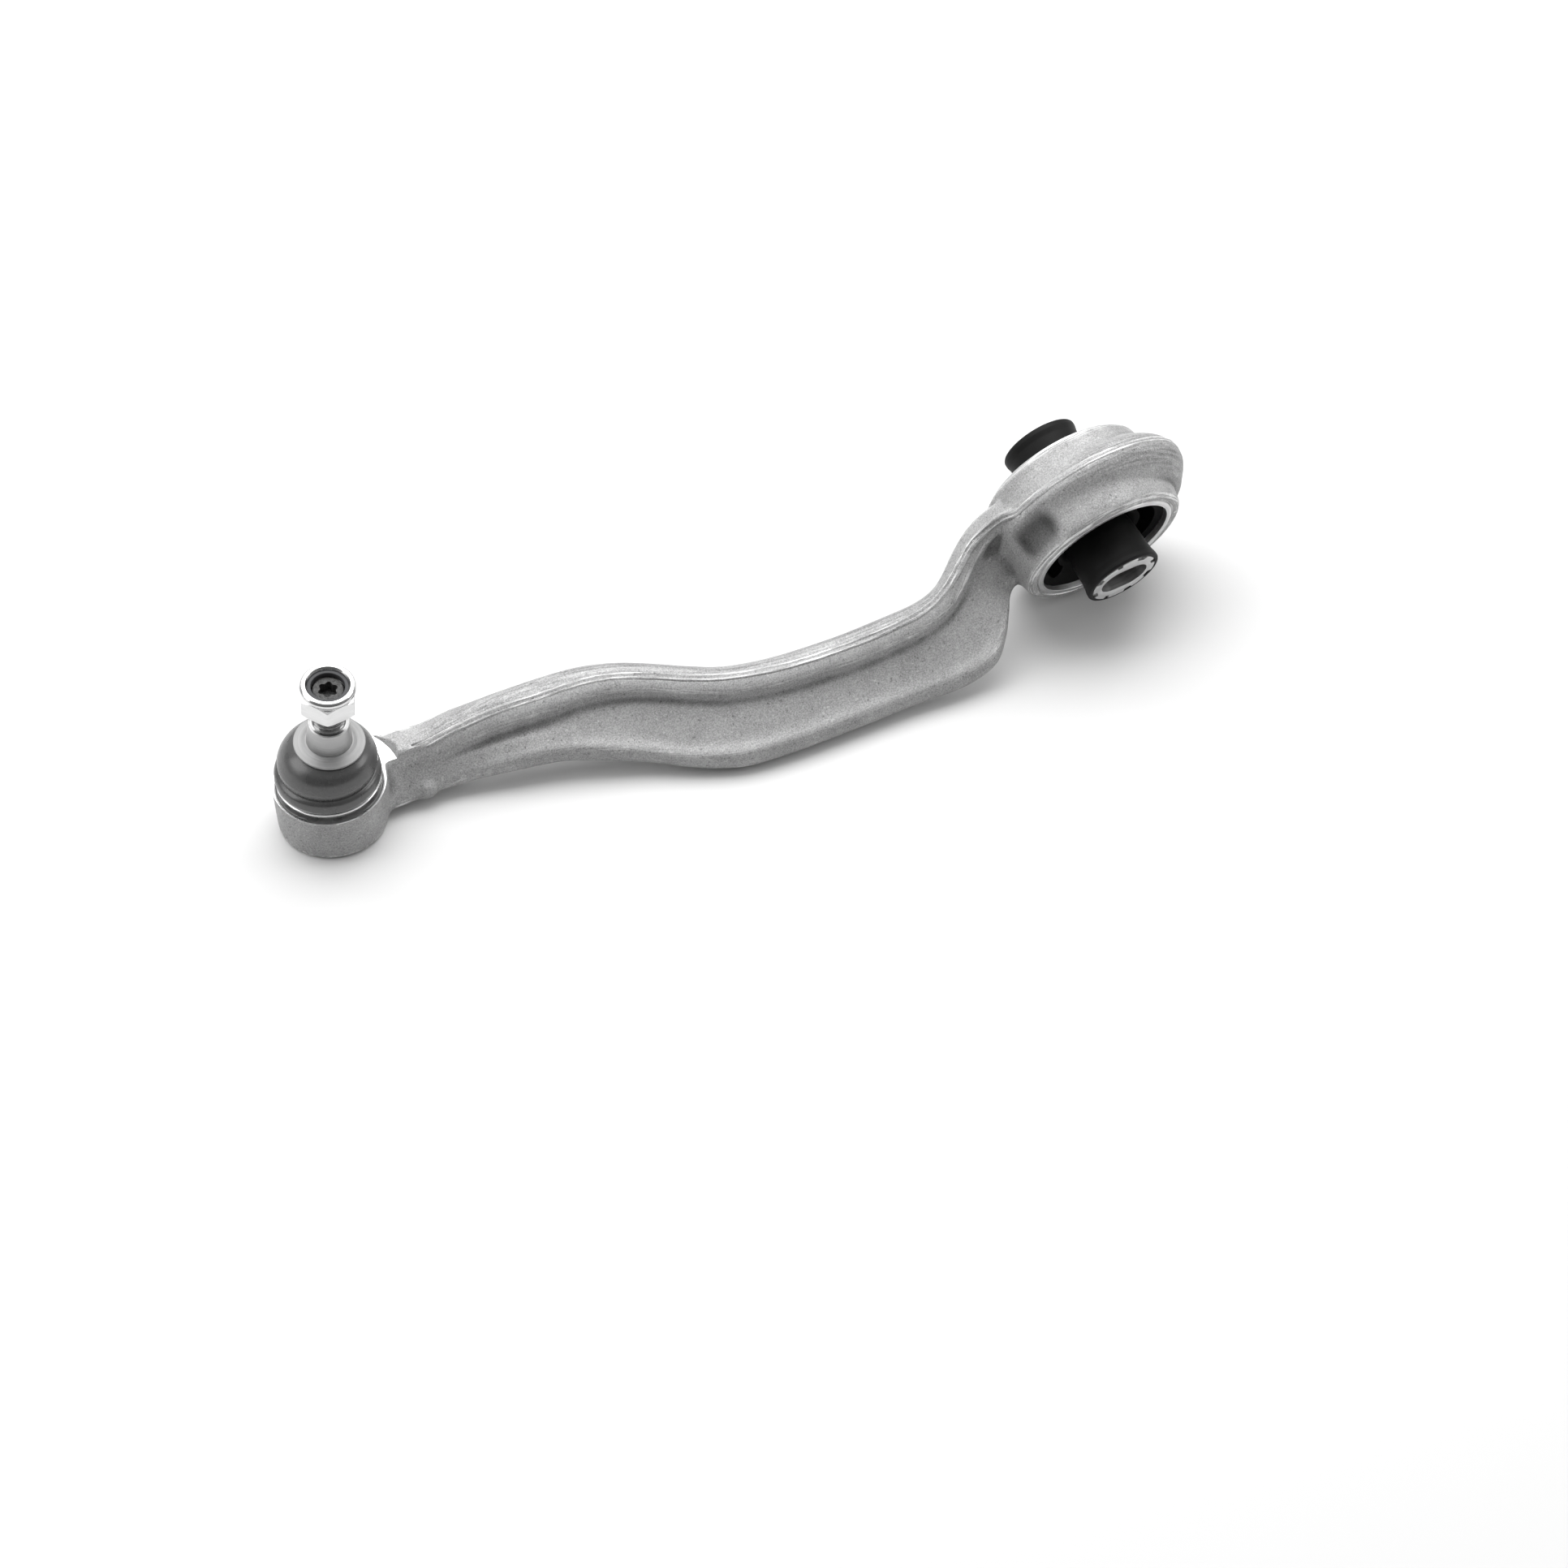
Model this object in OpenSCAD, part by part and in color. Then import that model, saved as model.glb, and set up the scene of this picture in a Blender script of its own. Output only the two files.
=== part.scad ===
// Forged control arm: sealed ball joint at one end, rubber bush at the other.
// Millimetres, +Z up. The origin is the bush centre; +X runs away from the ball joint.

/* [Arm] */
// Horizontal distance from the ball joint axis to the bush centre
reach = 352; // [335:1:370]
// Height of the bush centre above the plane the arm lies on
bush_height = 48; // [47:0.5:50]
// Depth of the recess in the beam's web
web_recess = 3.2; // [1:0.1:4.5]
// Thickness of the beam across its flanges
beam_thickness = 14; // [11:0.5:15]

/* [Ball joint] */
// Outer radius of the housing at its machined rim
housing_r = 24.25; // [23.5:0.05:25]
// Height of the machined rim above the base
rim_height = 23.3; // [22.5:0.1:24]
// Height of the ball centre above the base
ball_height = 15.5; // [15.2:0.1:16]
// Radius of the ball
ball_r = 13.5; // [13:0.1:13.6]
// Lean of the stud at rest, away from the housing axis
stud_lean = 4.9; // [0:0.1:6]
// Direction of that lean, from +X
stud_lean_dir = -55; // [-70:1:-40]
// Radius of the stud's thread
thread_r = 7; // [6.5:0.5:7]
// Larger radius of the stud's taper
taper_r = 9.65; // [9.4:0.05:9.8]
// Smaller radius of the stud's taper
taper_top_r = 8.9; // [8.5:0.05:9.2]

/* [Nut] */
// Size of the nut across its flats
nut_flats = 22; // [21:0.5:22]
// Distance of the nut's lower face from the ball centre
nut_base = 59.4; // [58.5:0.1:60]

/* [Bush] */
// Turn of the bush axis about Z, measured at its front end
bush_yaw = -82.5; // [-85:0.5:-80]
// How far the front of the bush axis points down
bush_tilt = 18.3; // [16:0.1:20]
// Radius of the eye's bore
eye_bore_r = 34; // [33.9:0.05:34.1]
// Radius of the flash rib round the eye
rib_r = 48.3; // [46.5:0.1:48.6]
// Length of the metal inner sleeve
sleeve_length = 75.2; // [72:0.2:78]
// Radius of the metal inner sleeve at its ends
sleeve_r = 15.6; // [15:0.1:16]
// Radius at the round ends of the oval bolt hole
slot_r = 8.2; // [7.5:0.1:8.4]
// Distance between the centres of those round ends
slot_travel = 6.6; // [4:0.1:7]

/* [Hidden] */
$fn = 96;

running = 0.05;     // radial clearance of a part that turns in another
soft_gap = 0.35;    // room between rubber and the pieces it moves past

// ---- Ball joint levels, above the housing base or along the stud from the ball centre
neck_r = 19.3;              // aluminium neck inside the boot's lower lip
neck_top = ball_height + 15;
spot_face_r = 31;
root_lump = [40.5, -4.9, 9.2]; // forging lump under the root of the beam
root_lump_r = 5.5;
cup_r = ball_r + 1.8;       // bore that holds the bearing shell
cup_top = ball_height + 6.6;
cover_r = cup_r + 1.6;
lip_r = 13;                 // opening over the bearing shell
cover_bottom = 0.5;
cover_top = ball_height - ball_r - 0.1; // just clear of the ball as it turns
preload_height = 1.3;
shell_bottom = cover_top + preload_height;
shank_r = 7;
land_start = 30;            // round land that carries the boot collar
taper_start = 36.8;
taper_end = 48.4;
stud_end = 69;
socket_tip_r = 4.3;        // six-lobe drive
socket_depth = 5;
nut_height = 9.2;           // hexagon only
nut_collar_top = 72.6;
nut_collar_r = 11.8;
insert_r = 9.2;
insert_base = nut_base + nut_height;
insert_top = 71.2;
wire_height = 26.4;
wire_r = 0.6;
wire_ring_r = 21.8;

// ---- Bush sizes, along the bush axis from its centre
eye_half = 21.3;            // front face; the rear face is a little nearer
eye_rear = -19.8;
rib_shift = [3.9, -2.2, -1];   // the rib stands further out on the side away from the arm
pocket_r = 8.5;             // hollow forged in where the web meets the eye
pocket_seat = [47.5, 12]; // its middle, out from the bush axis and along it
pocket_from = 141;          // its ends round the bush axis
pocket_to = 158;
ring_half = 21.4;
ring_wall = 2.7;
ring_bore_r = eye_bore_r - ring_wall;
cage_r = 28.6;
cage_wall = 1.2;
cage_half = 16;
void_r = 24;                // middle radius of the kidney voids
void_width = 6.5;
void_half_angle = 42;
spring_bore_r = 16.2;
jacket_r = 17.75;
jacket_waist_r = 16.6;
stop_half = 9;
sleeve_core_r = sleeve_r - 1.2; // sleeve between its thicker ends
sleeve_end = 7;             // length of each thicker end
face_notches = 8;           // grip notches round each end face

// ---- Frames
module at_ball_base() translate([-reach, 0, -bush_height]) children();
module at_ball() at_ball_base() translate([0, 0, ball_height]) children();
module along_stud() at_ball() rotate([0, stud_lean, stud_lean_dir]) children();
// local +Z is the front of the bush axis and local +X points away from the ball joint
module along_bush() rotate([0, 90 + bush_tilt, bush_yaw]) rotate([0, 0, 90]) children();

module ring(outer_r, inner_r, z0, z1)
    rotate_extrude()
        translate([inner_r, z0]) square([outer_r - inner_r, z1 - z0]);

// ---- Beam: sections are spanned between the crest line and the lower bead line.
// Each station is [crest point, bead point, share of the web recess, share of the thickness,
// rise of the flange beyond the crest, how far the thickness is levelled], with points from
// the housing base below the ball joint.
stations = [
    [[16, 3, 22.5], [16, -10, 9], 0, 1.05, 0, 0.6],
    [[30, 2.5, 23.4], [30, -9, 8.5], 0, 0.93, 0.4, 0.6],
    [[44, 2, 25.7], [44, -8.5, 9.5], 0.1, 0.88, 1.2, 0.5],
    [[58, 2.6, 29], [58, -9.5, 12], 0.45, 0.93, 2.8, 0.35],
    [[75, 2.3, 32.3], [76, -12.5, 15.5], 0.8, 1, 5.2, 0.15],
    [[96, 0.8, 35], [98, -16.5, 18], 1, 1, 7, 0],
    [[115, -0.3, 37], [118, -23, 16.5], 1, 1, 6.5, 0],
    [[130, -3, 37], [133, -28.5, 14.5], 1, 1, 6, 0],
    [[145, -8.5, 36.3], [148, -36, 12.5], 1, 1, 5.5, 0],
    [[160, -15, 35.3], [160, -41, 12], 1, 1, 5, 0],
    [[176, -20, 34.5], [174, -44.8, 12], 1, 0.96, 4.5, 0],
    [[198, -23.2, 34], [197, -45.5, 12], 1, 0.94, 4.6, 0],
    [[226, -23.3, 34], [225, -44, 12], 1, 0.93, 4.6, 0],
    [[248, -22.5, 35.5], [253, -42.3, 12.5], 1, 0.92, 4.4, 0],
    [[266, -20.5, 38], [276, -42, 14], 1, 0.9, 3.4, 0],
    [[278, -16.2, 42], [292, -38.5, 17.5], 1, 0.84, 1.6, 0],
    [[285.8, -12, 48], [301, -30.5, 22], 1, 0.76, 0.4, 0],
    [[293.6, -7.2, 54.3], [306.5, -22.5, 26.5], 1, 0.72, 0, 0],
    [[303.8, -4.5, 62], [311, -16, 31.5], 1, 0.76, -0.5, 0],
    [[316.3, -6.2, 69.8], [318, -14, 38], 1, 0.82, -1, 0],
    [[328, -8.5, 76], [326, -14, 45], 0.4, 0.8, -2, 0],
];
rings_per_station = 3;

// Catmull-Rom blend of the stations around i, for scalars and points alike
function blend(p0, p1, p2, p3, t) =
    0.5 * (2 * p1 + (p2 - p0) * t + (2 * p0 - 5 * p1 + 4 * p2 - p3) * t * t
        + (3 * p1 - p0 - 3 * p2 + p3) * t * t * t);
last_station = len(stations) - 1;
function station_value(i, k) = stations[max(0, min(last_station, i))][k];
function at(u, k) =
    let (i = min(last_station - 1, floor(u)))
    blend(station_value(i - 1, k), station_value(i, k), station_value(i + 1, k),
        station_value(i + 2, k), u - i);
function unit(v) = v / norm(v);
function middle(u) = (at(u, 0) + at(u, 1)) / 2;
function path_dir(u) = unit(middle(min(last_station, u + 0.4)) - middle(max(0, u - 0.4)));

// Closed section outline as [along the web from the bead, out of the web]
function section(l, r, k, rise) =
    let (web = -web_recess * r, deep = -beam_thickness * k, back = deep + 3.2 * min(1, r + 0.3),
        upper = max(l - 14, 7.6))
    [
        [l + rise, 0.5 * deep], [l + 0.75 * rise, 0.25 * deep], [l + 0.4 * rise, -1.2], [l, 0],
        [l - 4, 1], [l - 6.8, 0.9], [l - 8.8, 0.3 + 0.35 * web], [l - 11, 0.9 * web],
        [upper, web], [7, 0.62 * web], [3.4, 0.34 * web], [0.6, 0.02 * web],
        [-1.6, -0.5], [-4.4, -2.4], [-6.2, -5.5], [-5.4, 0.7 * deep],
        [-2.2, 0.88 * deep], [3, 0.92 * deep], [6.5, back], [upper, back],
        [l - 8, 0.95 * deep], [l - 2, 1.08 * deep], [l + 0.5 * rise, deep],
        [l + 0.9 * rise, 0.78 * deep],
    ];
function section_points(u) =
    let (crest = at(u, 0), bead = at(u, 1), l = norm(crest - bead), along = unit(crest - bead),
        out = unit(cross(path_dir(u), along) - [0, 0, at(u, 5)]))
    [for (p = section(l, at(u, 2), at(u, 3), at(u, 4))) bead + along * p[0] + out * p[1]];
function centre(points) =
    [for (k = [0:2]) [for (p = points) p[k]] * [for (p = points) 1] / len(points)];

module beam() {
    count = last_station * rings_per_station + 1;
    rings = [for (j = [0:count - 1]) section_points(j / rings_per_station)];
    sides = len(rings[0]);
    first = count * sides;
    stretch = reach / 352;
    points = concat([for (ring = rings) each ring], [centre(rings[0]), centre(rings[count - 1])]);
    walls = [for (j = [0:count - 2], i = [0:sides - 1])
        let (a = j * sides, b = a + sides, n = (i + 1) % sides)
        each [[a + i, b + i, b + n], [a + i, b + n, a + n]]];
    ends = [for (i = [0:sides - 1])
        let (n = (i + 1) % sides, z = (count - 1) * sides)
        each [[first, i, n], [first + 1, z + n, z + i]]];
    polyhedron([for (p = points) [p[0] * stretch, p[1], p[2]]], concat(ends, walls), 10);
}

module housing_shape() {
    rotate_extrude()
        polygon([[0, 0], [housing_r - 1.6, 0], [housing_r - 0.5, 1.1],
            [housing_r, rim_height - 0.6], [housing_r - 0.6, rim_height], [20.8, rim_height],
            [neck_r, rim_height + 0.8], [neck_r, neck_top - 0.8], [neck_r - 0.8, neck_top],
            [0, neck_top]]);
}

module housing_cavity() {
    rotate_extrude()
        polygon([[0, -1], [cover_r, -1], [cover_r, cover_top], [cup_r, cover_top],
            [cup_r, cup_top], [lip_r, cup_top], [lip_r, cup_top + 2], [17.2, neck_top + 0.1],
            [0, neck_top + 0.1]]);
}

module eye_shell() {
    rotate_extrude()
        polygon([[eye_bore_r - 4, eye_rear], [35.8, eye_rear], [37.2, eye_rear + 1.6],
            [38.3, -14.8], [39.3, -11.5], [41, -10], [41, 8], [40, 11], [39.4, 16],
            [39, eye_half - 2], [37.6, eye_half], [eye_bore_r - 4, eye_half]]);
}

module eye_rib() {
    translate(rib_shift)
        rotate_extrude()
            polygon([[36, -12.5], [39.6, -10.8], [42.9, -8.4], [rib_r - 2.6, -5.8], [rib_r - 0.8, -3],
                [rib_r, 0.5], [rib_r - 0.4, 3.5], [46.2, 6.4], [43.8, 9.4], [41.4, 12.6], [36, 14]]);
}

module eye_pocket() {
    rotate(pocket_from)
        rotate_extrude(angle = pocket_to - pocket_from) translate(pocket_seat) circle(r = pocket_r);
    for (a = [pocket_from, pocket_to])
        rotate(a) translate([pocket_seat[0], 0, pocket_seat[1]]) sphere(r = pocket_r);
}

module arm_forging() {
    color("#a9abad")
        difference() {
            union() {
                at_ball_base() housing_shape();
                at_ball_base() beam();
                at_ball_base() translate(root_lump) sphere(r = root_lump_r);
                along_bush() eye_shell();
                along_bush() eye_rib();
            }
            at_ball_base() housing_cavity();
            // spot face: levels the beam with the machined rim and clears the boot's seat
            at_ball_base() ring(spot_face_r, neck_r, rim_height, rim_height + 20);
            along_bush() cylinder(r = eye_bore_r, h = 130, center = true);
            along_bush() eye_pocket();
        }
}

// ---- Ball joint pieces
module ball_stud() {
    waist = sqrt(ball_r * ball_r - shank_r * shank_r);
    color("#77787a")
        along_stud()
            difference() {
                union() {
                    intersection() {
                        sphere(r = ball_r);
                        translate([-20, -20, -ball_r + 2.7]) cube([40, 40, 40]);
                    }
                    rotate_extrude()
                        polygon([[0, 0], [shank_r, 0], [shank_r, waist + 7], [8.4, 26],
                            [taper_r, land_start], [taper_r, taper_start],
                            [taper_top_r, taper_end - 0.7], [taper_top_r - 0.7, taper_end],
                            [thread_r + 0.2, taper_end], [thread_r, taper_end + 0.6],
                            [thread_r, stud_end - 0.7], [thread_r - 0.7, stud_end], [0, stud_end]]);
                }
                translate([0, 0, stud_end - socket_depth]) six_lobe(socket_depth + 1);
            }
}

module six_lobe(depth) {
    lobe_r = 0.95;
    cylinder(r = socket_tip_r - 1.05, h = depth);
    for (k = [0:5])
        rotate(60 * k) translate([socket_tip_r - lobe_r, 0, 0]) cylinder(r = lobe_r, h = depth);
}

module bearing_shell() {
    color("#e4dfd0")
        at_ball_base()
            difference() {
                translate([0, 0, shell_bottom]) cylinder(r = cup_r, h = cup_top - shell_bottom);
                translate([0, 0, ball_height]) sphere(r = ball_r + running);
            }
}

module preload_ring() {
    color("#3b3d40") at_ball_base() ring(cup_r, 8, cover_top, shell_bottom);
}

module cover_plate() {
    color("#8c9093")
        at_ball_base()
            translate([0, 0, cover_bottom]) cylinder(r = cover_r, h = cover_top - cover_bottom);
}

// ---- Boot: rings blend from the housing's axis to the leaning stud.
// Each entry is [radius, height above the base at the housing, share of the stud's lean].
boot_outer = [[21.1, 25.2, 0], [21.1, 27.6, 0], [22.6, 28.6, 0], [22.8, 31, 0], [22.2, 33, 0.05],
    [20.6, 34.2, 0.1], [21.2, 36.2, 0.2], [21.3, 38.5, 0.35], [20.7, 41, 0.5], [19.4, 44, 0.7],
    [17.6, 46.6, 0.88], [15.6, 48.2, 1], [14.6, 48.9, 1]];
boot_inner = [[11.4, 48.9, 1], [11.4, 44.2, 1], [15.6, 43.2, 0.75], [18.6, 40.5, 0.5],
    [19.4, 38, 0.35], [19.4, 34.5, 0.1], [19.95, 32, 0], [19.95, 25.2, 0]];
boot_sides = 40;

function lean_point(p, share) =
    let (a = stud_lean * share, h = p[2] - ball_height,
        q = [p[0], p[1], h], s = stud_lean_dir,
        x = q[0] * cos(s) + q[1] * sin(s), y = q[1] * cos(s) - q[0] * sin(s),
        x2 = x * cos(a) + q[2] * sin(a), z2 = q[2] * cos(a) - x * sin(a))
    [x2 * cos(s) - y * sin(s), x2 * sin(s) + y * cos(s), z2 + ball_height];

module dust_boot() {
    outline = concat(boot_outer, boot_inner);
    rows = len(outline);
    points = [for (o = outline, i = [0:boot_sides - 1])
        let (a = 360 * i / boot_sides)
        lean_point([o[0] * cos(a), o[0] * sin(a), o[1]], o[2])];
    faces = [for (j = [0:rows - 1], i = [0:boot_sides - 1])
        let (a = j * boot_sides, b = ((j + 1) % rows) * boot_sides, n = (i + 1) % boot_sides)
        each [[a + i, b + i, b + n], [a + i, b + n, a + n]]];
    color("#4b4c4e") at_ball_base() polyhedron(points, faces, 10);
}

module boot_wire_ring() {
    color("#c9cbcd")
        at_ball_base() translate([0, 0, wire_height])
            rotate_extrude() translate([wire_ring_r, 0]) circle(r = wire_r, $fn = 24);
}

module boot_collar() {
    inner = taper_r + running;
    color("#cfd0cf")
        along_stud()
            rotate_extrude()
                polygon([[inner, 30.6], [11, 30.6], [11, 33.9], [14.4, 34.1], [15.1, 34.7],
                    [15.2, 35.6], [13.6, 35.7], [11.8, 36.1], [inner, 36.7]]);
}

module boot_neck_ring() {
    color("#b5b7b9")
        along_stud() translate([0, 0, 29.9])
            rotate_extrude() translate([10.35, 0]) circle(r = 0.55, $fn = 24);
}

// ---- Nut
module lock_nut() {
    across_corners = nut_flats / cos(30);
    color("#d9dadb")
        along_stud()
            difference() {
                union() {
                    intersection() {
                        translate([0, 0, nut_base]) rotate(-48)
                            cylinder(d = across_corners, h = nut_height, $fn = 6);
                        translate([0, 0, nut_base])
                            rotate_extrude()
                                polygon([[0, 0], [11.2, 0], [13.2, 1.1], [13.2, nut_height - 1.2],
                                    [11.1, nut_height], [0, nut_height]]);
                    }
                    translate([0, 0, insert_base])
                        rotate_extrude()
                            polygon([[0, -0.5], [nut_collar_r, -0.5], [nut_collar_r, 2.6],
                                [nut_collar_r - 1.2, nut_collar_top - insert_base],
                                [0, nut_collar_top - insert_base]]);
                }
                cylinder(r = thread_r + running, h = 100);
                translate([0, 0, insert_base]) cylinder(r = insert_r, h = insert_top - insert_base);
                translate([0, 0, insert_top - 0.1]) cylinder(r = 8.6, h = 5);
            }
}

module nylon_insert() {
    color("#3f4145")
        along_stud()
            ring(insert_r - running, thread_r + running, insert_base + 0.02, insert_top - 0.12);
}

// ---- Bush pieces
module bush_outer_ring() {
    color("#bfc1c2")
        along_bush()
            rotate_extrude()
                polygon([[ring_bore_r, -ring_half], [eye_bore_r - 0.5, -ring_half],
                    [eye_bore_r, -ring_half + 0.8], [eye_bore_r, ring_half - 0.8],
                    [eye_bore_r - 0.5, ring_half], [ring_bore_r, ring_half]]);
}

module channel_half(side)
    mirror([0, 0, side])
        difference() {
            ring(ring_bore_r, cage_r, 0, 9);
            ring(eye_bore_r, cage_r + 0.8, 1.2, 3.6);
            ring(eye_bore_r, cage_r + 0.8, 4.8, 7.4);
        }
module channel_ring_front() color("#26282b") along_bush() channel_half(0);
module channel_ring_rear() color("#26282b") along_bush() channel_half(1);

// metal cage with a window over each fluid chamber
module window_cage() {
    color("#8f9194")
        along_bush()
            difference() {
                ring(cage_r, cage_r - cage_wall, -cage_half, cage_half);
                for (side = [0, 180])
                    rotate(side) translate([20, -11, -7]) cube([14, 22, 14]);
            }
}

// kidney-shaped void through the rubber, centred on +X (side = 0) or -X (side = 180)
module kidney(side) {
    depth = 2 * ring_half + 10;
    rotate(side - void_half_angle)
        translate([0, 0, -depth / 2])
            rotate_extrude(angle = 2 * void_half_angle)
                translate([void_r - void_width / 2, 0]) square([void_width, depth]);
}

module rubber_spring() {
    outer = cage_r - cage_wall;
    step = cage_half + 0.2;
    color("#141414")
        along_bush()
            difference() {
                rotate_extrude()
                    polygon([[spring_bore_r, -15], [18.6, -18], [24, -20.2], [ring_bore_r, -19.4],
                        [ring_bore_r, -step], [outer, -step], [outer, step], [ring_bore_r, step],
                        [ring_bore_r, 18.6], [24, 17], [18.6, 15], [spring_bore_r, 13]]);
                kidney(0);
                kidney(180);
            }
}

module bolt_slot(h)
    translate([0, 0, -h / 2])
        linear_extrude(height = h)
            union() {
                for (x = [-slot_travel / 2, slot_travel / 2]) translate([x, 0]) circle(r = slot_r);
                square([slot_travel, 2 * slot_r], center = true);
            }

module inner_sleeve() {
    half = sleeve_length / 2;
    end = half - sleeve_end;
    color("#b9bbbb")
        along_bush()
            difference() {
                rotate_extrude()
                    polygon([[0, -half], [sleeve_r - 0.4, -half], [sleeve_r, -half + 0.5],
                        [sleeve_r, -end], [sleeve_core_r, -end + 2], [sleeve_core_r, end - 2],
                        [sleeve_r, end], [sleeve_r, half - 0.5], [sleeve_r - 0.4, half], [0, half]]);
                bolt_slot(sleeve_length + 2);
                for (k = [0:face_notches - 1], side = [0, 1])
                    mirror([0, 0, side]) rotate(360 * (k + 0.5) / face_notches)
                        translate([sleeve_r - 1.2, -1.3, half - 1.2]) cube([3, 2.6, 3]);
            }
}

module travel_stop() {
    color("#d8d3c4")
        along_bush() ring(spring_bore_r - soft_gap, sleeve_core_r, -stop_half, stop_half);
}

module jacket_half() {
    half = sleeve_length / 2;
    bore = spring_bore_r - soft_gap;
    rotate_extrude()
        polygon([[sleeve_core_r, stop_half], [bore, stop_half], [bore, 14], [jacket_waist_r, 20],
            [jacket_waist_r + 0.2, half - 9], [jacket_r, half - 2.5], [jacket_r, half - 0.8],
            [jacket_r - 0.6, half - 0.15], [sleeve_r + 0.4, half - 0.15], [sleeve_r, half - 0.5],
            [sleeve_r, half - sleeve_end], [sleeve_core_r, half - sleeve_end - 2]]);
}

module sleeve_jacket_front() color("#1b1b1c") along_bush() jacket_half();
module sleeve_jacket_rear() color("#1b1b1c") along_bush() mirror([0, 0, 1]) jacket_half();

arm_forging();
ball_stud();
bearing_shell();
preload_ring();
cover_plate();
dust_boot();
boot_wire_ring();
boot_neck_ring();
boot_collar();
lock_nut();
nylon_insert();
bush_outer_ring();
window_cage();
channel_ring_front();
channel_ring_rear();
rubber_spring();
inner_sleeve();
travel_stop();
sleeve_jacket_front();
sleeve_jacket_rear();
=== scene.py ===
import math

import bmesh
import bpy
import numpy as np
from mathutils import Matrix, Vector
from mathutils.bvhtree import BVHTree


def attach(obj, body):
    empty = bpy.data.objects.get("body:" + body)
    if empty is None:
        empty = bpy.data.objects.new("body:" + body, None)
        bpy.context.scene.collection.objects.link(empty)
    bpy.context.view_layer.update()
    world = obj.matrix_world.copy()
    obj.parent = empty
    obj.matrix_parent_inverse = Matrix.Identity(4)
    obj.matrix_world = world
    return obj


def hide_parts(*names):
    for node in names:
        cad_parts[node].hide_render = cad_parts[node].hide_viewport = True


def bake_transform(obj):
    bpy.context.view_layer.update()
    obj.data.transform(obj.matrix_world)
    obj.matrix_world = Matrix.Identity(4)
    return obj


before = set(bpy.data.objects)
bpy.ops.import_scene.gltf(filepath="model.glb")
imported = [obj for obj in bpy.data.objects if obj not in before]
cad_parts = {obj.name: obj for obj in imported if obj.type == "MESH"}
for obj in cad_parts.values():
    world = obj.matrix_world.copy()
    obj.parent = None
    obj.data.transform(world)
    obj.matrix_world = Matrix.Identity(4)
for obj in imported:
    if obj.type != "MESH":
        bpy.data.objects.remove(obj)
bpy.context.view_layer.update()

# Shapes are worked out in millimetres in the CAD part's own frames and stored in metres.
MM = 0.001
REACH = 352.0
BUSH_HEIGHT = 48.0
BALL_HEIGHT = 15.5
STUD_LEAN, STUD_LEAN_DIR = 4.9, -55.0
BUSH_YAW, BUSH_TILT = -82.5, 18.3


def turn(degrees, axis):
    return Matrix.Rotation(math.radians(degrees), 4, axis)


BALL_BASE = Matrix.Translation((-REACH, 0, -BUSH_HEIGHT))
BALL = BALL_BASE @ Matrix.Translation((0, 0, BALL_HEIGHT))
STUD = BALL @ turn(STUD_LEAN_DIR, "Z") @ turn(STUD_LEAN, "Y")
BUSH = turn(BUSH_YAW, "Z") @ turn(90 + BUSH_TILT, "Y") @ turn(90, "Z")


def polar(radius, a):
    return radius * math.cos(a), radius * math.sin(a)


def circle(count):
    return [2 * math.pi * k / count for k in range(count)]


def linked(name, data):
    obj = bpy.data.objects.new(name, data)
    bpy.context.scene.collection.objects.link(obj)
    return obj


# ---- camera, floor and light
LENS, SENSOR = 90.0, 36.0
CAMERA_PLACE = (-0.6050, -1.0830, 1.2223)
CAMERA_PITCH, CAMERA_HEADING = 48.74, 23.12
SKY_FROM = (0.26, 0.56, 0.79)
SKY_STOPS = [(0.30, 0.10), (0.50, 0.26), (0.68, 0.56), (0.86, 0.92), (1.0, 1.0)]
SKY_STRENGTH = 0.9
FLOOR_HALF, FLOOR_GAP, FLOOR_GREY = 6.0, 0.0002, 0.62


def add_camera():
    data = bpy.data.cameras.new("camera")
    data.lens, data.sensor_width = LENS, SENSOR
    data.clip_start, data.clip_end = 0.05, 50
    cam = linked("camera", data)
    pitch, heading = math.radians(CAMERA_PITCH), math.radians(CAMERA_HEADING)
    level = math.cos(pitch)
    look = Vector((level * math.sin(heading), level * math.cos(heading), -math.sin(pitch)))
    cam.location = CAMERA_PLACE
    cam.rotation_euler = look.to_track_quat("-Z", "Y").to_euler()
    bpy.context.scene.camera = cam


def add_area(name, place, aim, size, power):
    data = bpy.data.lights.new(name, "AREA")
    data.shape, data.size, data.size_y = "RECTANGLE", size[0], size[1]
    data.energy = power
    lamp = linked(name, data)
    lamp.location = place
    lamp.rotation_euler = (Vector(aim) - Vector(place)).to_track_quat("-Z", "Y").to_euler()


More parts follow.
